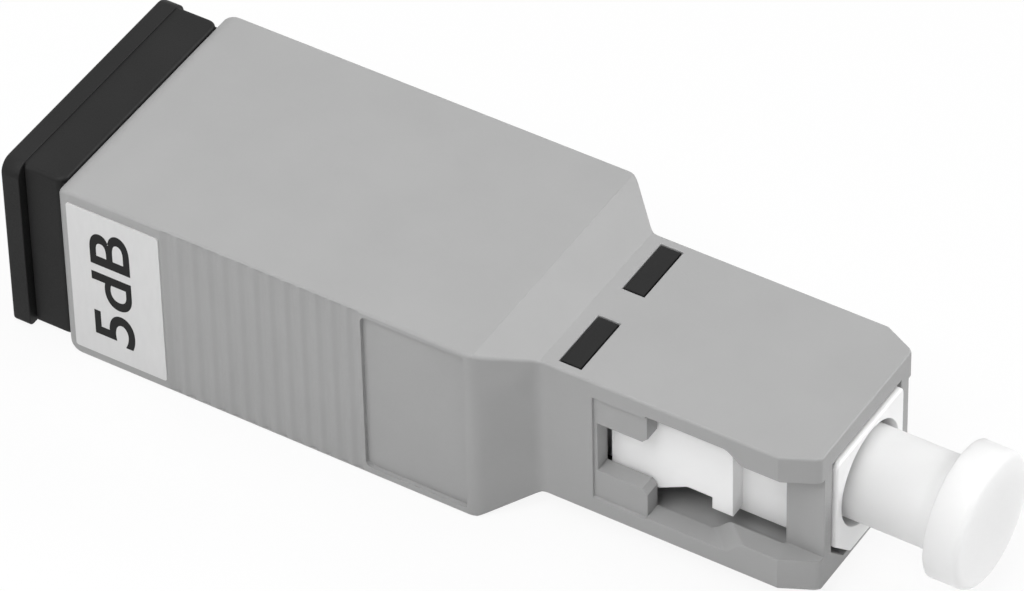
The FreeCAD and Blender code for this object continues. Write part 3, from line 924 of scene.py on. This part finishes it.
    def outside(self) -> Solid:
        """Models the whole outside: grip, shoulder, plug, key and soft edges.

        Returns:
            The solid housing without its openings.
        """
        sections = self.rear_sections() + self.shoulder_sections() + self.tip_sections()
        old = sections[0]
        shell = Solid.bar("outer_housing_skin", old.x, old.x + self.plate, old.y, old.z)
        shell.bevel(lambda edge: run(edge).x > FLAT, self.edge_round, segments=5, clamp=False)
        for new in sections[1:]:
            start = max(old.x, self.x_rear + self.plate)
            shell.grow(new.x - start, new.y / old.y, new.z / old.z)
            old = new
        shell.bevel(lambda edge: lies_at(edge, self.x_front), self.rim_round)
        key_front = self.x_front - self.key_setback
        key = Solid.block(
            "key",
            (key_front - self.key_length, -self.key_width / 2, -self.plug_half_z - self.key_height),
            (key_front, self.key_width / 2, PAST - self.plug_half_z),
        )
        key.bevel(lambda edge: middle(edge).z < -self.plug_half_z, self.rim_round)
        return shell.combine(Join.ADD, key)

    def inside(self) -> list[Solid]:
        """Models what is cut from the inside, along the axis.

        Returns:
            The cutters, each used once.
        """
        cavity_end = self.x_shoulder - self.end_wall
        step_end = self.x_plug + self.passage_step
        nose = Solid.block(
            "nose_opening",
            (self.x_pillar - PAST, -self.opening_half_y, -self.passage_bottom),
            (self.x_front + PAST, self.opening_half_y, self.passage_top),
        )
        nose.slope_corners(
            self.opening_half_y, self.passage_bottom, self.opening_slope_y, self.opening_slope_z
        )
        return [
            Solid.bar(
                "cavity", self.x_rear - PAST, cavity_end,
                self.half_y - self.wall_y, self.half_z - self.wall_z,
            ),
            Solid.block(
                "passage",
                (cavity_end - PAST, -self.passage_half_y, -self.passage_bottom),
                (step_end, self.passage_half_y, self.passage_top),
            ),
            Solid.block(
                "frame_room",
                (step_end - PAST, -self.frame_half_y, -self.passage_bottom),
                (self.x_pillar, self.frame_half_y, self.passage_top),
            ),
            nose,
            Solid.block(
                "keyway",
                (self.x_rear - PAST, -self.keyway_half_y, -self.half_z - PAST),
                (self.keyway_end, self.keyway_half_y, 0),
            ),
        ]

    def lug_holes(self) -> list[Solid]:
        """Models the four holes that take the receptacle's snap lugs.

        Returns:
            The cutters, each used once.
        """
        holes = []
        x0 = self.x_plug + self.lug_start
        for low, high in (
            (self.passage_top, self.plug_half_z),
            (-self.plug_half_z, -self.passage_bottom),
        ):
            hole = Solid.block(
                "lug_hole",
                (x0, self.lug_inner_y, low - PAST),
                (x0 + self.lug_length, self.lug_outer_y, high + PAST),
            )
            holes.append(hole.mirror())
        return holes

    def window_curve(self) -> Solid:
        """Models the front end of a window: an S-curve that runs through the wall at a slant in plan.

        Returns:
            The cutter for both sides.
        """
        x1 = self.x_plug + self.wide_end
        curve = Solid.block(
            "window_curve",
            (x1 - self.curve_slant - PAST, self.frame_half_y, -self.wide_bottom),
            (x1, self.plug_half_y, self.wide_top),
        )
        wide = (-self.wide_bottom, self.wide_top)
        old = wide
        for step in range(1, self.curve_steps + 1):
            share = step / self.curve_steps
            ease = share * share * (3 - 2 * share)
            new = (
                wide[0] + (self.wide_bottom - self.narrow_bottom) * ease,
                wide[1] - (self.wide_top - self.narrow_top) * ease,
            )
            curve.taper(self.curve_length / self.curve_steps, old, new)
            old = new
        curve.shift_edges(
            lambda edge: middle(edge).y < self.frame_half_y + TINY and run(edge).y < TINY,
            (-self.curve_slant, 0, 0),
        )
        return curve.mirror()

    def windows(self) -> list[Solid]:
        """Models everything that is cut from the plug's sides for the mating hooks.

        Returns:
            The cutters for both sides, each used once.
        """
        x_tab = self.x_plug + self.tab_end
        x_wide = self.x_plug + self.wide_end - self.curve_slant
        y_in = self.frame_half_y - PAST
        y_out = self.plug_half_y + PAST
        slot = Solid.block(
            "slot",
            (self.x_plug + self.slot_start, y_in, -self.slot_half_z),
            (x_tab, y_out, self.slot_half_z),
        )
        wide = Solid.block("wide", (x_tab, y_in, -self.wide_bottom), (x_wide, y_out, self.wide_top))
        narrow = Solid.block(
            "narrow",
            (x_wide - PAST, y_in, -self.narrow_bottom),
            (self.x_pillar, y_out, self.narrow_top),
        )
        slot.combine(Join.ADD, wide)
        slot.bevel(
            lambda edge: run(edge).y > FLAT and abs(middle(edge).x - x_tab) < TINY
            and abs(abs(middle(edge).z) - self.slot_half_z) < TINY,
            self.tab_bevel, segments=1,
        )
        slot.combine(Join.ADD, narrow)
        recess = Solid.block(
            "recess",
            (self.x_plug + self.recess_start, self.plug_half_y - self.recess_depth, -self.recess_half_z),
            (x_tab, y_out, self.recess_half_z),
        )
        channel = Solid.block(
            "channel",
            (self.x_pillar - PAST, self.channel_floor_y, -self.narrow_bottom),
            (self.x_front + PAST, y_out, self.narrow_top),
        )
        return [slot.mirror(), self.window_curve(), recess.mirror(), channel.mirror()]

    def pocket(self) -> Solid:
        """Models the plain pocket in front of the ribs.

        Returns:
            The cutter for both sides.
        """
        pocket = Solid.block(
            "pocket",
            (self.x_pocket, self.half_y - self.pocket_depth, -self.pocket_bottom),
            (self.x_pocket + self.pocket_length, self.half_y + PAST, self.pocket_top),
        )
        pocket.bevel(
            lambda edge: run(edge).y > FLAT and middle(edge).x < self.x_pocket + TINY,
            self.pocket_round, segments=5,
        )
        return pocket.mirror()

    def at_window(self, edge: Edge) -> bool:
        """Tells the edges of the latch windows.

        Args:
            edge: An edge of the cut housing.

        Returns:
            Whether it is at a window's rim.
        """
        spot = middle(edge)
        along = self.x_plug + self.recess_start - TINY < spot.x < self.x_chamfer
        skin = self.plug_half_y - self.recess_depth - TINY
        return along and abs(spot.y) > skin and abs(spot.z) < self.wide_top + TINY

    def at_lug_hole(self, edge: Edge) -> bool:
        """Tells the edges of the holes for the snap lugs.

        Args:
            edge: An edge of the cut housing.

        Returns:
            Whether it is at a hole's rim.
        """
        spot = middle(edge)
        rear = self.x_plug + self.lug_start
        along = rear - TINY < spot.x < rear + self.lug_length + TINY
        across = self.lug_inner_y - TINY < abs(spot.y) < self.lug_outer_y + TINY
        return along and across and abs(spot.z) > self.plug_half_z - TINY

    def at_opening(self, edge: Edge) -> bool:
        """Tells the edges of the opening for the nose.

        Args:
            edge: An edge of the cut housing.

        Returns:
            Whether it is at the opening's rim.
        """
        spot = middle(edge)
        inside = abs(spot.y) < self.opening_half_y + TINY and abs(spot.z) < self.passage_bottom + TINY
        return inside and lies_at(edge, self.x_front)

    def stays_crisp(self, edge: Edge) -> bool:
        """Tells the edges that stay crisp between smooth faces.

        Args:
            edge: An edge of the cut housing.

        Returns:
            Whether it bounds the shoulder's slope or starts the tip's chamfer.
        """
        if lies_at(edge, self.x_chamfer):
            return turn(edge) > FAINT_TURN
        bounds_slope = lies_at(edge, self.x_shoulder) or lies_at(edge, self.x_plug)
        return bounds_slope and abs(middle(edge).z) > self.plug_half_z - self.edge_round

    def build(self) -> bpy.types.Object:
        """Models, softens and dresses the housing.

        Returns:
            The finished housing.
        """
        shell = self.outside()
        shell.combine(
            Join.CUT, *self.inside(), *self.lug_holes(), *self.windows(), self.pocket(), self.ribs()
        )
        for place in (self.at_window, self.at_lug_hole, self.at_opening):
            shell.bevel(
                lambda edge, here=place: here(edge) and turn(edge) > CUT_TURN,
                self.cut_round, segments=2, clamp=False,
            )
        shell.crease(self.stays_crisp)
        return shell.hand_over(HOUSING_GREY, Body.SHELL, "outer_housing", "housing_grey")


@dataclass
class ReceptacleBody:
    """Black one-piece receptacle: flange, neck, keyed port, and snap lugs that show in the plug."""

    flange_length: float = 0.9
    flange_edge: float = 0.12
    flange_front_edge: float = 0.04
    flange_top_round: float = 0.65
    low_round: float = 0.25
    neck_half_y: float = 5.87
    neck_half_z: float = 4.4
    neck_round: float = 0.2
    neck_corner: float = 0.45
    groove_width: float = 0.11
    groove_depth: float = 0.12
    box_half_y: float = 5.75
    box_half_z: float = 4.15
    box_end: float = 22.5
    spigot_half_y: float = 4.0
    spigot_top: float = 2.65
    spigot_bottom: float = 3.2
    spigot_bore: float = 2.45
    port_half_y: float = 4.55
    port_half_z: float = 3.75
    port_end: float = 18.2
    mouth_depth: float = 0.35
    mouth_flare_y: float = 0.35
    mouth_flare_z: float = 0.21
    keyway_half_y: float = 1.25
    keyway_end: float = 12.0
    relief_start: float = 4.5
    relief_end: float = 14.15
    relief_depth: float = 0.75
    relief_half_z: float = 2.2
    bump_end: float = 14.1
    bump_length: float = 0.6
    bump_height: float = 0.3
    bump_low: float = 2.3
    bump_high: float = 3.6
    lug_rear: float = 25.8
    lug_length: float = 0.95
    lug_inner_y: float = 0.98
    lug_outer_y: float = 3.98
    lug_half_z: float = 3.675
    lug_edge: float = 0.06

    def __post_init__(self) -> None:
        """Reads the receptacle's ends and the housing's rear end from the frame."""
        high = node_box("receptacle_body")[1]
        self.half_y = high.y
        self.half_z = high.z
        self.spigot_end = high.x
        self.neck_end = node_box("outer_housing")[0].x

    def rounded_plate(self, name: str, x0: float, x1: float, half: Span, top_round: float) -> Solid:
        """Models a plate across the axis with its own upper corners.

        Args:
            name: Name of the plate.
            x0: Rear face.
            x1: Front face.
            half: Half width and half height.
            top_round: Rounding of the upper corners.

        Returns:
            The plate.
        """
        plate = Solid.bar(name, x0, x1, half[0], half[1])
        plate.bevel(lambda edge: run(edge).x > FLAT and middle(edge).z > 0, top_round, segments=7)
        plate.bevel(
            lambda edge: run(edge).x > FLAT and middle(edge).z < TINY - half[1],
            self.low_round, segments=4,
        )
        return plate

    def neck(self) -> Solid:
        """Models the neck, whose upright front corners are rounded in plan.

        Returns:
            The neck between the groove and the housing.
        """
        rear = self.flange_length + self.groove_width
        neck = Solid.bar("neck", rear, self.neck_end, self.neck_half_y, self.neck_half_z)
        neck.bevel(
            lambda edge: run(edge).z > FLAT and middle(edge).x > self.neck_end - TINY,
            self.neck_corner, segments=5,
        )
        neck.bevel(
            lambda edge: abs(middle(edge).z) > self.neck_half_z - TINY and middle(edge).x > rear + TINY,
            self.neck_round, segments=5, clamp=False,
        )
        return neck

    def outside(self) -> Solid:
        """Models the flange, neck, box, spigot and lugs as one solid.

        Returns:
            The receptacle without its port.
        """
        body = self.rounded_plate(
            "receptacle_body_skin", 0.0, self.flange_length,
            (self.half_y, self.half_z), self.flange_top_round,
        )
        body.bevel(lambda edge: lies_at(edge, 0.0), self.flange_edge)
        body.bevel(lambda edge: lies_at(edge, self.flange_length), self.flange_front_edge)
        neck = self.neck()
        groove = self.rounded_plate(
            "groove", self.flange_length / 2, self.flange_length + 2 * self.groove_width,
            (self.neck_half_y - self.groove_depth, self.neck_half_z), self.neck_round,
        )
        box = Solid.bar("box", self.flange_length, self.box_end, self.box_half_y, self.box_half_z)
        spigot = Solid.block(
            "spigot",
            (self.box_end - PAST, -self.spigot_half_y, -self.spigot_bottom),
            (self.spigot_end, self.spigot_half_y, self.spigot_top),
        )
        return body.combine(Join.ADD, neck, groove, box, spigot, *self.lugs())

    def lugs(self) -> list[Solid]:
        """Models the snap lugs, two above and two below.

        Returns:
            The lugs, each a mirrored pair.
        """
        pairs = []
        front = self.lug_rear + self.lug_length
        for low, high in (
            (self.spigot_top - PAST, self.lug_half_z),
            (-self.lug_half_z, PAST - self.spigot_bottom),
        ):
            lug = Solid.block(
                "lug", (self.lug_rear, self.lug_inner_y, low), (front, self.lug_outer_y, high)
            )
            lug.bevel(
                lambda edge: abs(middle(edge).z) > self.lug_half_z - TINY, self.lug_edge, segments=2
            )
            pairs.append(lug.mirror())
        return pairs

    def port(self) -> list[Solid]:
        """Models what is cut for the mating plug.

        Returns:
            The cutters, each used once.
        """
        hole = Solid.bar("port", -PAST, self.port_end, self.port_half_y, self.port_half_z)
        mouth_y = self.port_half_y + self.mouth_flare_y
        mouth_z = self.port_half_z + self.mouth_flare_z
        mouth = Solid.bar("mouth", -PAST, 0.0, mouth_y, mouth_z)
        mouth.grow(self.mouth_depth, self.port_half_y / mouth_y, self.port_half_z / mouth_z)
        keyway = Solid.block(
            "keyway",
            (-PAST, -self.keyway_half_y, -self.half_z - PAST),
            (self.keyway_end, self.keyway_half_y, 0.0),
        )
        relief = Solid.block(
            "relief",
            (self.relief_start, self.port_half_y - PAST, -self.relief_half_z),
            (self.relief_end, self.port_half_y + self.relief_depth, self.relief_half_z),
        )
        bore = Solid.rod("spigot_bore", self.spigot_bore, self.port_end - PAST, self.spigot_end + PAST)
        return [hole, mouth, keyway, relief.mirror(), bore]

    def bumps(self) -> Solid:
        """Models the four ramps that hold the latch in the port.

        Returns:
            The ramps as one solid.
        """
        rear = self.bump_end - 2 * self.bump_length
        bump = Solid.block(
            "bump",
            (rear, self.port_half_y - self.bump_height, self.bump_low),
            (self.bump_end, self.port_half_y + self.mouth_depth, self.bump_high),
        )
        bump.bevel(
            lambda edge: run(edge).z > FLAT and middle(edge).x < rear + TINY
            and middle(edge).y < self.port_half_y,
            self.bump_height, segments=1,
        )
        return bump.mirror().mirror(Across.Z)

    def build(self) -> bpy.types.Object:
        """Models and dresses the receptacle.

        Returns:
            The finished receptacle.
        """
        body = self.outside()
        body.combine(Join.CUT, *self.port())
        body.combine(Join.ADD, self.bumps())
        return body.hand_over(RECEPTACLE_BLACK, Body.SHELL, "receptacle_body", "receptacle_black")


@dataclass
class PlugFrame:
    """White one-piece frame: nose with its round bore, side rails and the catches in the windows."""

    nose_half_y: float = 2.7
    nose_top: float = 2.6
    nose_bottom: float = 3.15
    nose_slope_y: float = 1.2
    nose_slope_z: float = 2.0
    top_corner: float = 0.3
    nose_edge: float = 0.12
    bore_radius: float = 2.33
    bore_sides: int = 96
    bore_play: float = 0.02
    bore_edge: float = 0.06
    bore_start: float = 6.55
    stop_radius: float = 1.4
    stop_start: float = 7.3
    press_radius: float = 2.15
    rail_rear_half_z: float = 2.2
    rail_top: float = 1.85
    flare_start: float = 2.22
    flare_bottom: float = 1.85
    web_start: float = 3.6
    web_bottom: float = 1.12
    web_end: float = 4.72
    catch_bottom: float = 1.76
    catch_end: float = 5.7
    rail_edge: float = 0.05
    start: float = 0.05
    rail_gap: float = 0.8

    def __post_init__(self) -> None:
        """Reads the frame's ends and its width over the rails from the frame."""
        low, high = node_box("plug_frame")
        self.x_rear = low.x
        self.x_nose = high.x
        self.rail_half_y = high.y

    def nose(self) -> Solid:
        """Models the nose block with its sloped lower corners.

        Returns:
            The nose without its bores.
        """
        nose = Solid.block(
            "plug_frame_skin",
            (self.x_rear, -self.nose_half_y, -self.nose_bottom),
            (self.x_nose, self.nose_half_y, self.nose_top),
        )
        nose.bevel(lambda edge: run(edge).x > FLAT and middle(edge).z > 0, self.top_corner, segments=5)
        nose.slope_corners(self.nose_half_y, self.nose_bottom, self.nose_slope_y, self.nose_slope_z)
        nose.bevel(lambda edge: lies_at(edge, self.x_nose), self.nose_edge)
        return nose

    def rails(self) -> Solid:
        """Models the rails with the catch that the mating hooks hold.

        Returns:
            The rails of both sides.
        """
        x0 = self.x_rear + self.rail_gap
        rear = (-self.rail_rear_half_z, self.rail_rear_half_z)
        flare = (-self.flare_bottom, self.rail_top)
        web = (-self.web_bottom, self.rail_top)
        rail = Solid.block(
            "rail", (x0, self.nose_half_y - PAST, rear[0]), (x0 + self.start, self.rail_half_y, rear[1])
        )
        rail.taper(self.flare_start - self.start, rear, flare)
        rail.taper(self.web_start - self.flare_start, flare, web)
        rail.grow(self.catch_end - self.web_start)
        catch = Solid.block(
            "catch",
            (x0 + self.web_end, self.nose_half_y - PAST, -self.catch_bottom),
            (x0 + self.catch_end, self.rail_half_y, 0.0),
        )
        rail.combine(Join.ADD, catch)
        rail.bevel(
            lambda edge: middle(edge).y > self.rail_half_y - TINY and turn(edge) > SQUARE_TURN,
            self.rail_edge, segments=2,
        )
        return rail.mirror()

    def bores(self) -> list[Solid]:
        """Models the stepped bore along the axis.

        Returns:
            The cutters, each used once.
        """
        stop = self.x_nose - self.stop_start
        seat = self.x_nose - self.bore_start
        return [
            Solid.rod("press_bore", self.press_radius, self.x_rear - PAST, stop),
            Solid.rod("stop_bore", self.stop_radius, stop - PAST, self.x_nose),
            Solid.rod("nose_bore", self.bore_radius, seat, self.x_nose + PAST, self.bore_sides),
        ]

    def build(self) -> bpy.types.Object:
        """Models and dresses the frame.

        Returns:
            The finished frame.
        """
        body = self.nose()
        body.combine(Join.ADD, self.rails())
        body.combine(Join.CUT, *self.bores())
        body.bevel(
            lambda edge: lies_at(edge, self.x_nose)
            and abs(middle(edge).yz.length - self.bore_radius) < self.bore_play,
            self.bore_edge, segments=2,
        )
        return body.hand_over(FRAME_WHITE, Body.CORE, "plug_frame", "frame_white")


@dataclass
class ValueLabel:
    """Paper label on the near side of the grip, with its printed value."""

    text: str = "5dB"
    corner_round: float = 0.12
    letter_height: float = 2.0
    text_length: float = 6.2
    baseline: float = 0.66
    weight: float = 0.013
    ink: float = 0.004

    def build(self) -> None:
        """Models and dresses the label and its print."""
        low, high = node_box("value_label")
        paper = Solid.block("value_label_paper", low, high)
        paper.bevel(lambda edge: run(edge).y > FLAT, self.corner_round, segments=4)
        paper.hand_over(LABEL_PAPER, Body.SHELL, "value_label", "label_paper")
        self.print_value(low, high)

    def print_value(self, low: Vector, high: Vector) -> bpy.types.Object:
        """Prints the value on the label, reading upwards.

        Args:
            low: Lowest corner of the label.
            high: Highest corner of the label.

        Returns:
            The finished print.
        """
        clear_bench()
        bpy.ops.object.text_add()
        words = bpy.context.object
        words.data.body = self.text
        words.data.align_x = "CENTER"
        words.data.offset = self.weight
        words.data.extrude = self.ink
        bpy.ops.object.convert(target="MESH")
        made = Solid(bpy.context.object)
        made.thing.name = "value_label_print"
        spots = [vertex.co for vertex in made.thing.data.vertices]
        width = max(spot.x for spot in spots) - min(spot.x for spot in spots)
        height = max(spot.y for spot in spots) - min(spot.y for spot in spots)
        stretch = Matrix.Diagonal((self.text_length / width, self.letter_height / height, 1, 1))
        upward = Matrix(((0, -1, 0, 0), (0, 0, -1, 0), (1, 0, 0, 0), (0, 0, 0, 1)))
        x_base = low.x + (high.x - low.x) * self.baseline
        place = Matrix.Translation((x_base, low.y, (low.z + high.z) / 2))
        made.thing.matrix_world = place @ upward @ stretch
        made.take_up()
        bpy.ops.object.transform_apply(location=True, rotation=True, scale=True)
        return made.hand_over(LABEL_PRINT, Body.SHELL, "", "label_print")


@dataclass
class DustCap:
    """White soft cap: a tube over the ferrule that flares into a closed disc."""

    tube_radius: float = 2.046
    bore_radius: float = 1.27
    bore_depth: float = 6.55
    tube_out: float = 3.1
    flare_length: float = 0.95
    flare_steps: int = 8
    rim_round: float = 0.35
    mouth_round: float = 0.15
    sides: int = 96

    def build(self) -> bpy.types.Object:
        """Models and dresses the cap.

        Returns:
            The finished cap.
        """
        low, high = node_box("dust_cap")
        disc_radius = high.y
        nose = node_box("plug_frame")[1].x
        flare_start = nose + self.tube_out
        cap = Solid.rod("dust_cap_soft", self.tube_radius, low.x, flare_start, self.sides)
        radius = self.tube_radius
        reach = 0.0
        for step in range(1, self.flare_steps + 1):
            angle = math.pi / 2 * step / self.flare_steps
            new_reach = self.flare_length * math.sin(angle)
            new_radius = self.tube_radius + (disc_radius - self.tube_radius) * (1 - math.cos(angle))
            cap.grow(new_reach - reach, new_radius / radius, new_radius / radius)
            reach = new_reach
            radius = new_radius
        cap.grow(high.x - flare_start - self.flare_length)
        cap.bevel(lambda edge: lies_at(edge, high.x), self.rim_round, segments=6)
        cap.bevel(lambda edge: lies_at(edge, low.x), self.mouth_round, segments=3)
        cap.pick(
            Pick.FACES,
            lambda face: face.normal.x < -FLAT and face.calc_center_median().x < low.x + TINY,
        )
        bpy.ops.mesh.inset(thickness=self.tube_radius - self.mouth_round - self.bore_radius)
        bpy.ops.mesh.extrude_region_move(TRANSFORM_OT_translate={"value": (self.bore_depth, 0, 0)})
        cap.shut()
        return cap.hand_over(CAP_WHITE, Body.CAP, "dust_cap", "cap_white")


@dataclass
class PortLatch:
    """Moulded latch inside the port: two hooks, a plate and the tube that holds the sleeve."""

    edge_round: float = 0.05
    least_edge: float = 0.12

    def build(self) -> bpy.types.Object:
        """Softens the latch's edges and dresses it.

        Returns:
            The finished latch.
        """
        latch = Solid.copy_of("port_latch_moulded", "port_latch")
        latch.bevel(
            lambda edge: turn(edge) > SQUARE_TURN and edge.calc_length() > self.least_edge,
            self.edge_round, segments=2, clamp=False,
        )
        return latch.hand_over(LATCH_PLASTIC, Body.CORE, "port_latch", "latch_plastic")


@dataclass
class FerruleSpring:
    """Steel spring behind the ferrule's collar, which shortens as the ferrule is pushed in."""

    joint: str = "ferrule_float"
    stroke: float = 1.0

    def build(self) -> bpy.types.Object:
        """Dresses the spring and gives it a mesh of its own.

        Returns:
            The finished spring.
        """
        coil = Solid.copy_of("ferrule_spring_coil", "ferrule_spring")
        made = coil.hand_over(SPRING_STEEL, Body.CORE, "ferrule_spring", "spring_steel")
        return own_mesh(made)


@dataclass
class HiddenWorks:
    """The inner pieces, which keep their CAD shapes and get real finishes."""

    def build(self) -> None:
        """Dresses the CAD nodes that stay."""
        finishes = {
            "inner_body": LATCH_PLASTIC,
            "alignment_sleeve": ZIRCONIA,
            "ferrule": ZIRCONIA,
            "ferrule_collar": COLLAR_NICKEL,
            "attenuating_fibre": FIBRE_GLASS,
        }
        for node, finish in finishes.items():
            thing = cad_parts[node]
            thing.data.materials.clear()
            thing.data.materials.append(finish.material())
            LOG.info("%s: %s", node, finish.name)


@dataclass(frozen=True)
class Softbox:
    """A square studio lamp that looks at a point of the object, in millimetres."""

    name: str
    place: Point
    size: float
    watts: float
    aim: Point = (20.0, 0.0, 0.0)

    def build(self) -> bpy.types.Object:
        """Adds the lamp.

        Returns:
            The lamp's object.
        """
        lamp = bpy.data.lights.new(self.name, "AREA")
        lamp.shape = "SQUARE"
        lamp.size = self.size * MM
        lamp.energy = self.watts
        thing = bpy.data.objects.new(self.name, lamp)
        bpy.context.scene.collection.objects.link(thing)
        thing.location = Vector(self.place) * MM
        away = Vector(self.place) - Vector(self.aim)
        thing.rotation_mode = "QUATERNION"
        thing.rotation_quaternion = away.to_track_quat("Z", "Y")
        return thing


@dataclass
class Studio:
    """White sweep, soft lamps and the camera of the photograph."""

    azimuth: float = 32.47
    elevation: float = 42.83
    roll: float = -1.40
    eye: Point = (138.77, -185.04, 205.10)
    focal_px: float = 7284.0
    image_width: float = 1024.0
    sensor: float = 36.0
    nearest: float = 0.01
    farthest: float = 10.0
    floor_size: float = 2000.0
    floor_gap: float = 0.02
    floor_tone: float = 0.85
    floor_white: float = 0.9
    sky: float = 0.11

    def camera(self) -> None:
        """Adds the camera with the photograph's view."""
        a = math.radians(self.azimuth)
        e = math.radians(self.elevation)
        r = math.radians(self.roll)
        back = Vector((math.sin(a) * math.cos(e), -math.cos(a) * math.cos(e), math.sin(e)))
        level = Vector((math.cos(a), math.sin(a), 0))
        steep = back.cross(level)
        right = math.cos(r) * level + math.sin(r) * steep
        up = back.cross(right)
        lens = bpy.data.cameras.new("camera")
        lens.sensor_fit = "HORIZONTAL"
        lens.sensor_width = self.sensor
        lens.lens = self.focal_px / self.image_width * self.sensor
        lens.clip_start = self.nearest
        lens.clip_end = self.farthest
        thing = bpy.data.objects.new("camera", lens)
        bpy.context.scene.collection.objects.link(thing)
        turned = Matrix((right, up, back)).transposed().to_4x4()
        thing.matrix_world = Matrix.Translation(Vector(self.eye) * MM) @ turned
        bpy.context.scene.camera = thing

    def seen_directly(self, tree: bpy.types.NodeTree, white: float) -> Socket:
        """Adds a factor that is high for camera, mirror and glass rays.

        Args:
            tree: Node tree that gets the nodes.
            white: Factor for those rays.

        Returns:
            The factor.
        """
        path = tree.nodes.new("ShaderNodeLightPath")
        total = path.outputs["Is Camera Ray"]
        for ray in ("Is Glossy Ray", "Is Transmission Ray"):
            step = tree.nodes.new("ShaderNodeMath")
            step.operation = "MAXIMUM"
            tree.links.new(total, step.inputs[0])
            tree.links.new(path.outputs[ray], step.inputs[1])
            total = step.outputs["Value"]
        share = tree.nodes.new("ShaderNodeMath")
        share.operation = "MULTIPLY"
        share.inputs[1].default_value = white
        tree.links.new(total, share.inputs[0])
        return share.outputs["Value"]

    def floor(self) -> None:
        """Adds the pale floor, which keeps a faint shadow under the white."""
        clear_bench()
        place = (0, 0, CAD_BOX[0].z - self.floor_gap * MM)
        bpy.ops.mesh.primitive_plane_add(size=self.floor_size * MM, location=place)
        thing = bpy.context.object
        thing.name = "floor"
        material = bpy.data.materials.new("floor_white")
        material.use_nodes = True
        tree = material.node_tree
        tree.nodes.clear()
        output = tree.nodes.new("ShaderNodeOutputMaterial")
        matt = tree.nodes.new("ShaderNodeBsdfDiffuse")
        matt.inputs["Color"].default_value = grey(self.floor_tone)
        glow = tree.nodes.new("ShaderNodeEmission")
        mix = tree.nodes.new("ShaderNodeMixShader")
        tree.links.new(self.seen_directly(tree, self.floor_white), mix.inputs["Fac"])
        tree.links.new(matt.outputs["BSDF"], mix.inputs[1])
        tree.links.new(glow.outputs["Emission"], mix.inputs[2])
        tree.links.new(mix.outputs["Shader"], output.inputs["Surface"])
        thing.data.materials.append(material)

    def world(self) -> None:
        """Adds the even sky, white where it is seen directly."""
        world = bpy.data.worlds.new("studio")
        bpy.context.scene.world = world
        world.use_nodes = True
        tree = world.node_tree
        tree.nodes.clear()
        output = tree.nodes.new("ShaderNodeOutputWorld")
        sky = tree.nodes.new("ShaderNodeBackground")
        sky.inputs["Color"].default_value = grey(1.0)
        sky.inputs["Strength"].default_value = self.sky
        white = tree.nodes.new("ShaderNodeBackground")
        white.inputs["Color"].default_value = grey(1.0)
        mix = tree.nodes.new("ShaderNodeMixShader")
        tree.links.new(self.seen_directly(tree, 1.0), mix.inputs["Fac"])
        tree.links.new(sky.outputs["Background"], mix.inputs[1])
        tree.links.new(white.outputs["Background"], mix.inputs[2])
        tree.links.new(mix.outputs["Shader"], output.inputs["Surface"])

    def build(self) -> None:
        """Builds the camera, floor, sky and lamps."""
        self.camera()
        self.floor()
        self.world()
        for lamp in (
            Softbox("key_lamp", (540.0, 400.0, 330.0), size=260.0, watts=3.1),
            Softbox("top_lamp", (20.0, 20.0, 320.0), size=200.0, watts=0.37),
            Softbox("near_lamp", (30.0, -190.0, 300.0), size=180.0, watts=0.69),
            Softbox("rear_lamp", (-22.0, -78.0, 40.0), size=50.0, watts=0.012, aim=(8.0, -6.0, 0.0)),
            Softbox("rim_lamp", (-320.0, 60.0, 90.0), size=120.0, watts=0.12),
        ):
            lamp.build()
        bpy.context.scene.view_settings.view_transform = "Standard"


def main() -> None:
    """Builds every sub-assembly in order, then the studio."""
    logging.basicConfig(level=logging.INFO, format="%(name)s %(message)s")
    GripHousing().build()
    ReceptacleBody().build()
    PlugFrame().build()
    ValueLabel().build()
    DustCap().build()
    PortLatch().build()
    FerruleSpring().build()
    HiddenWorks().build()
    Studio().build()


if __name__ == "__main__":
    main()
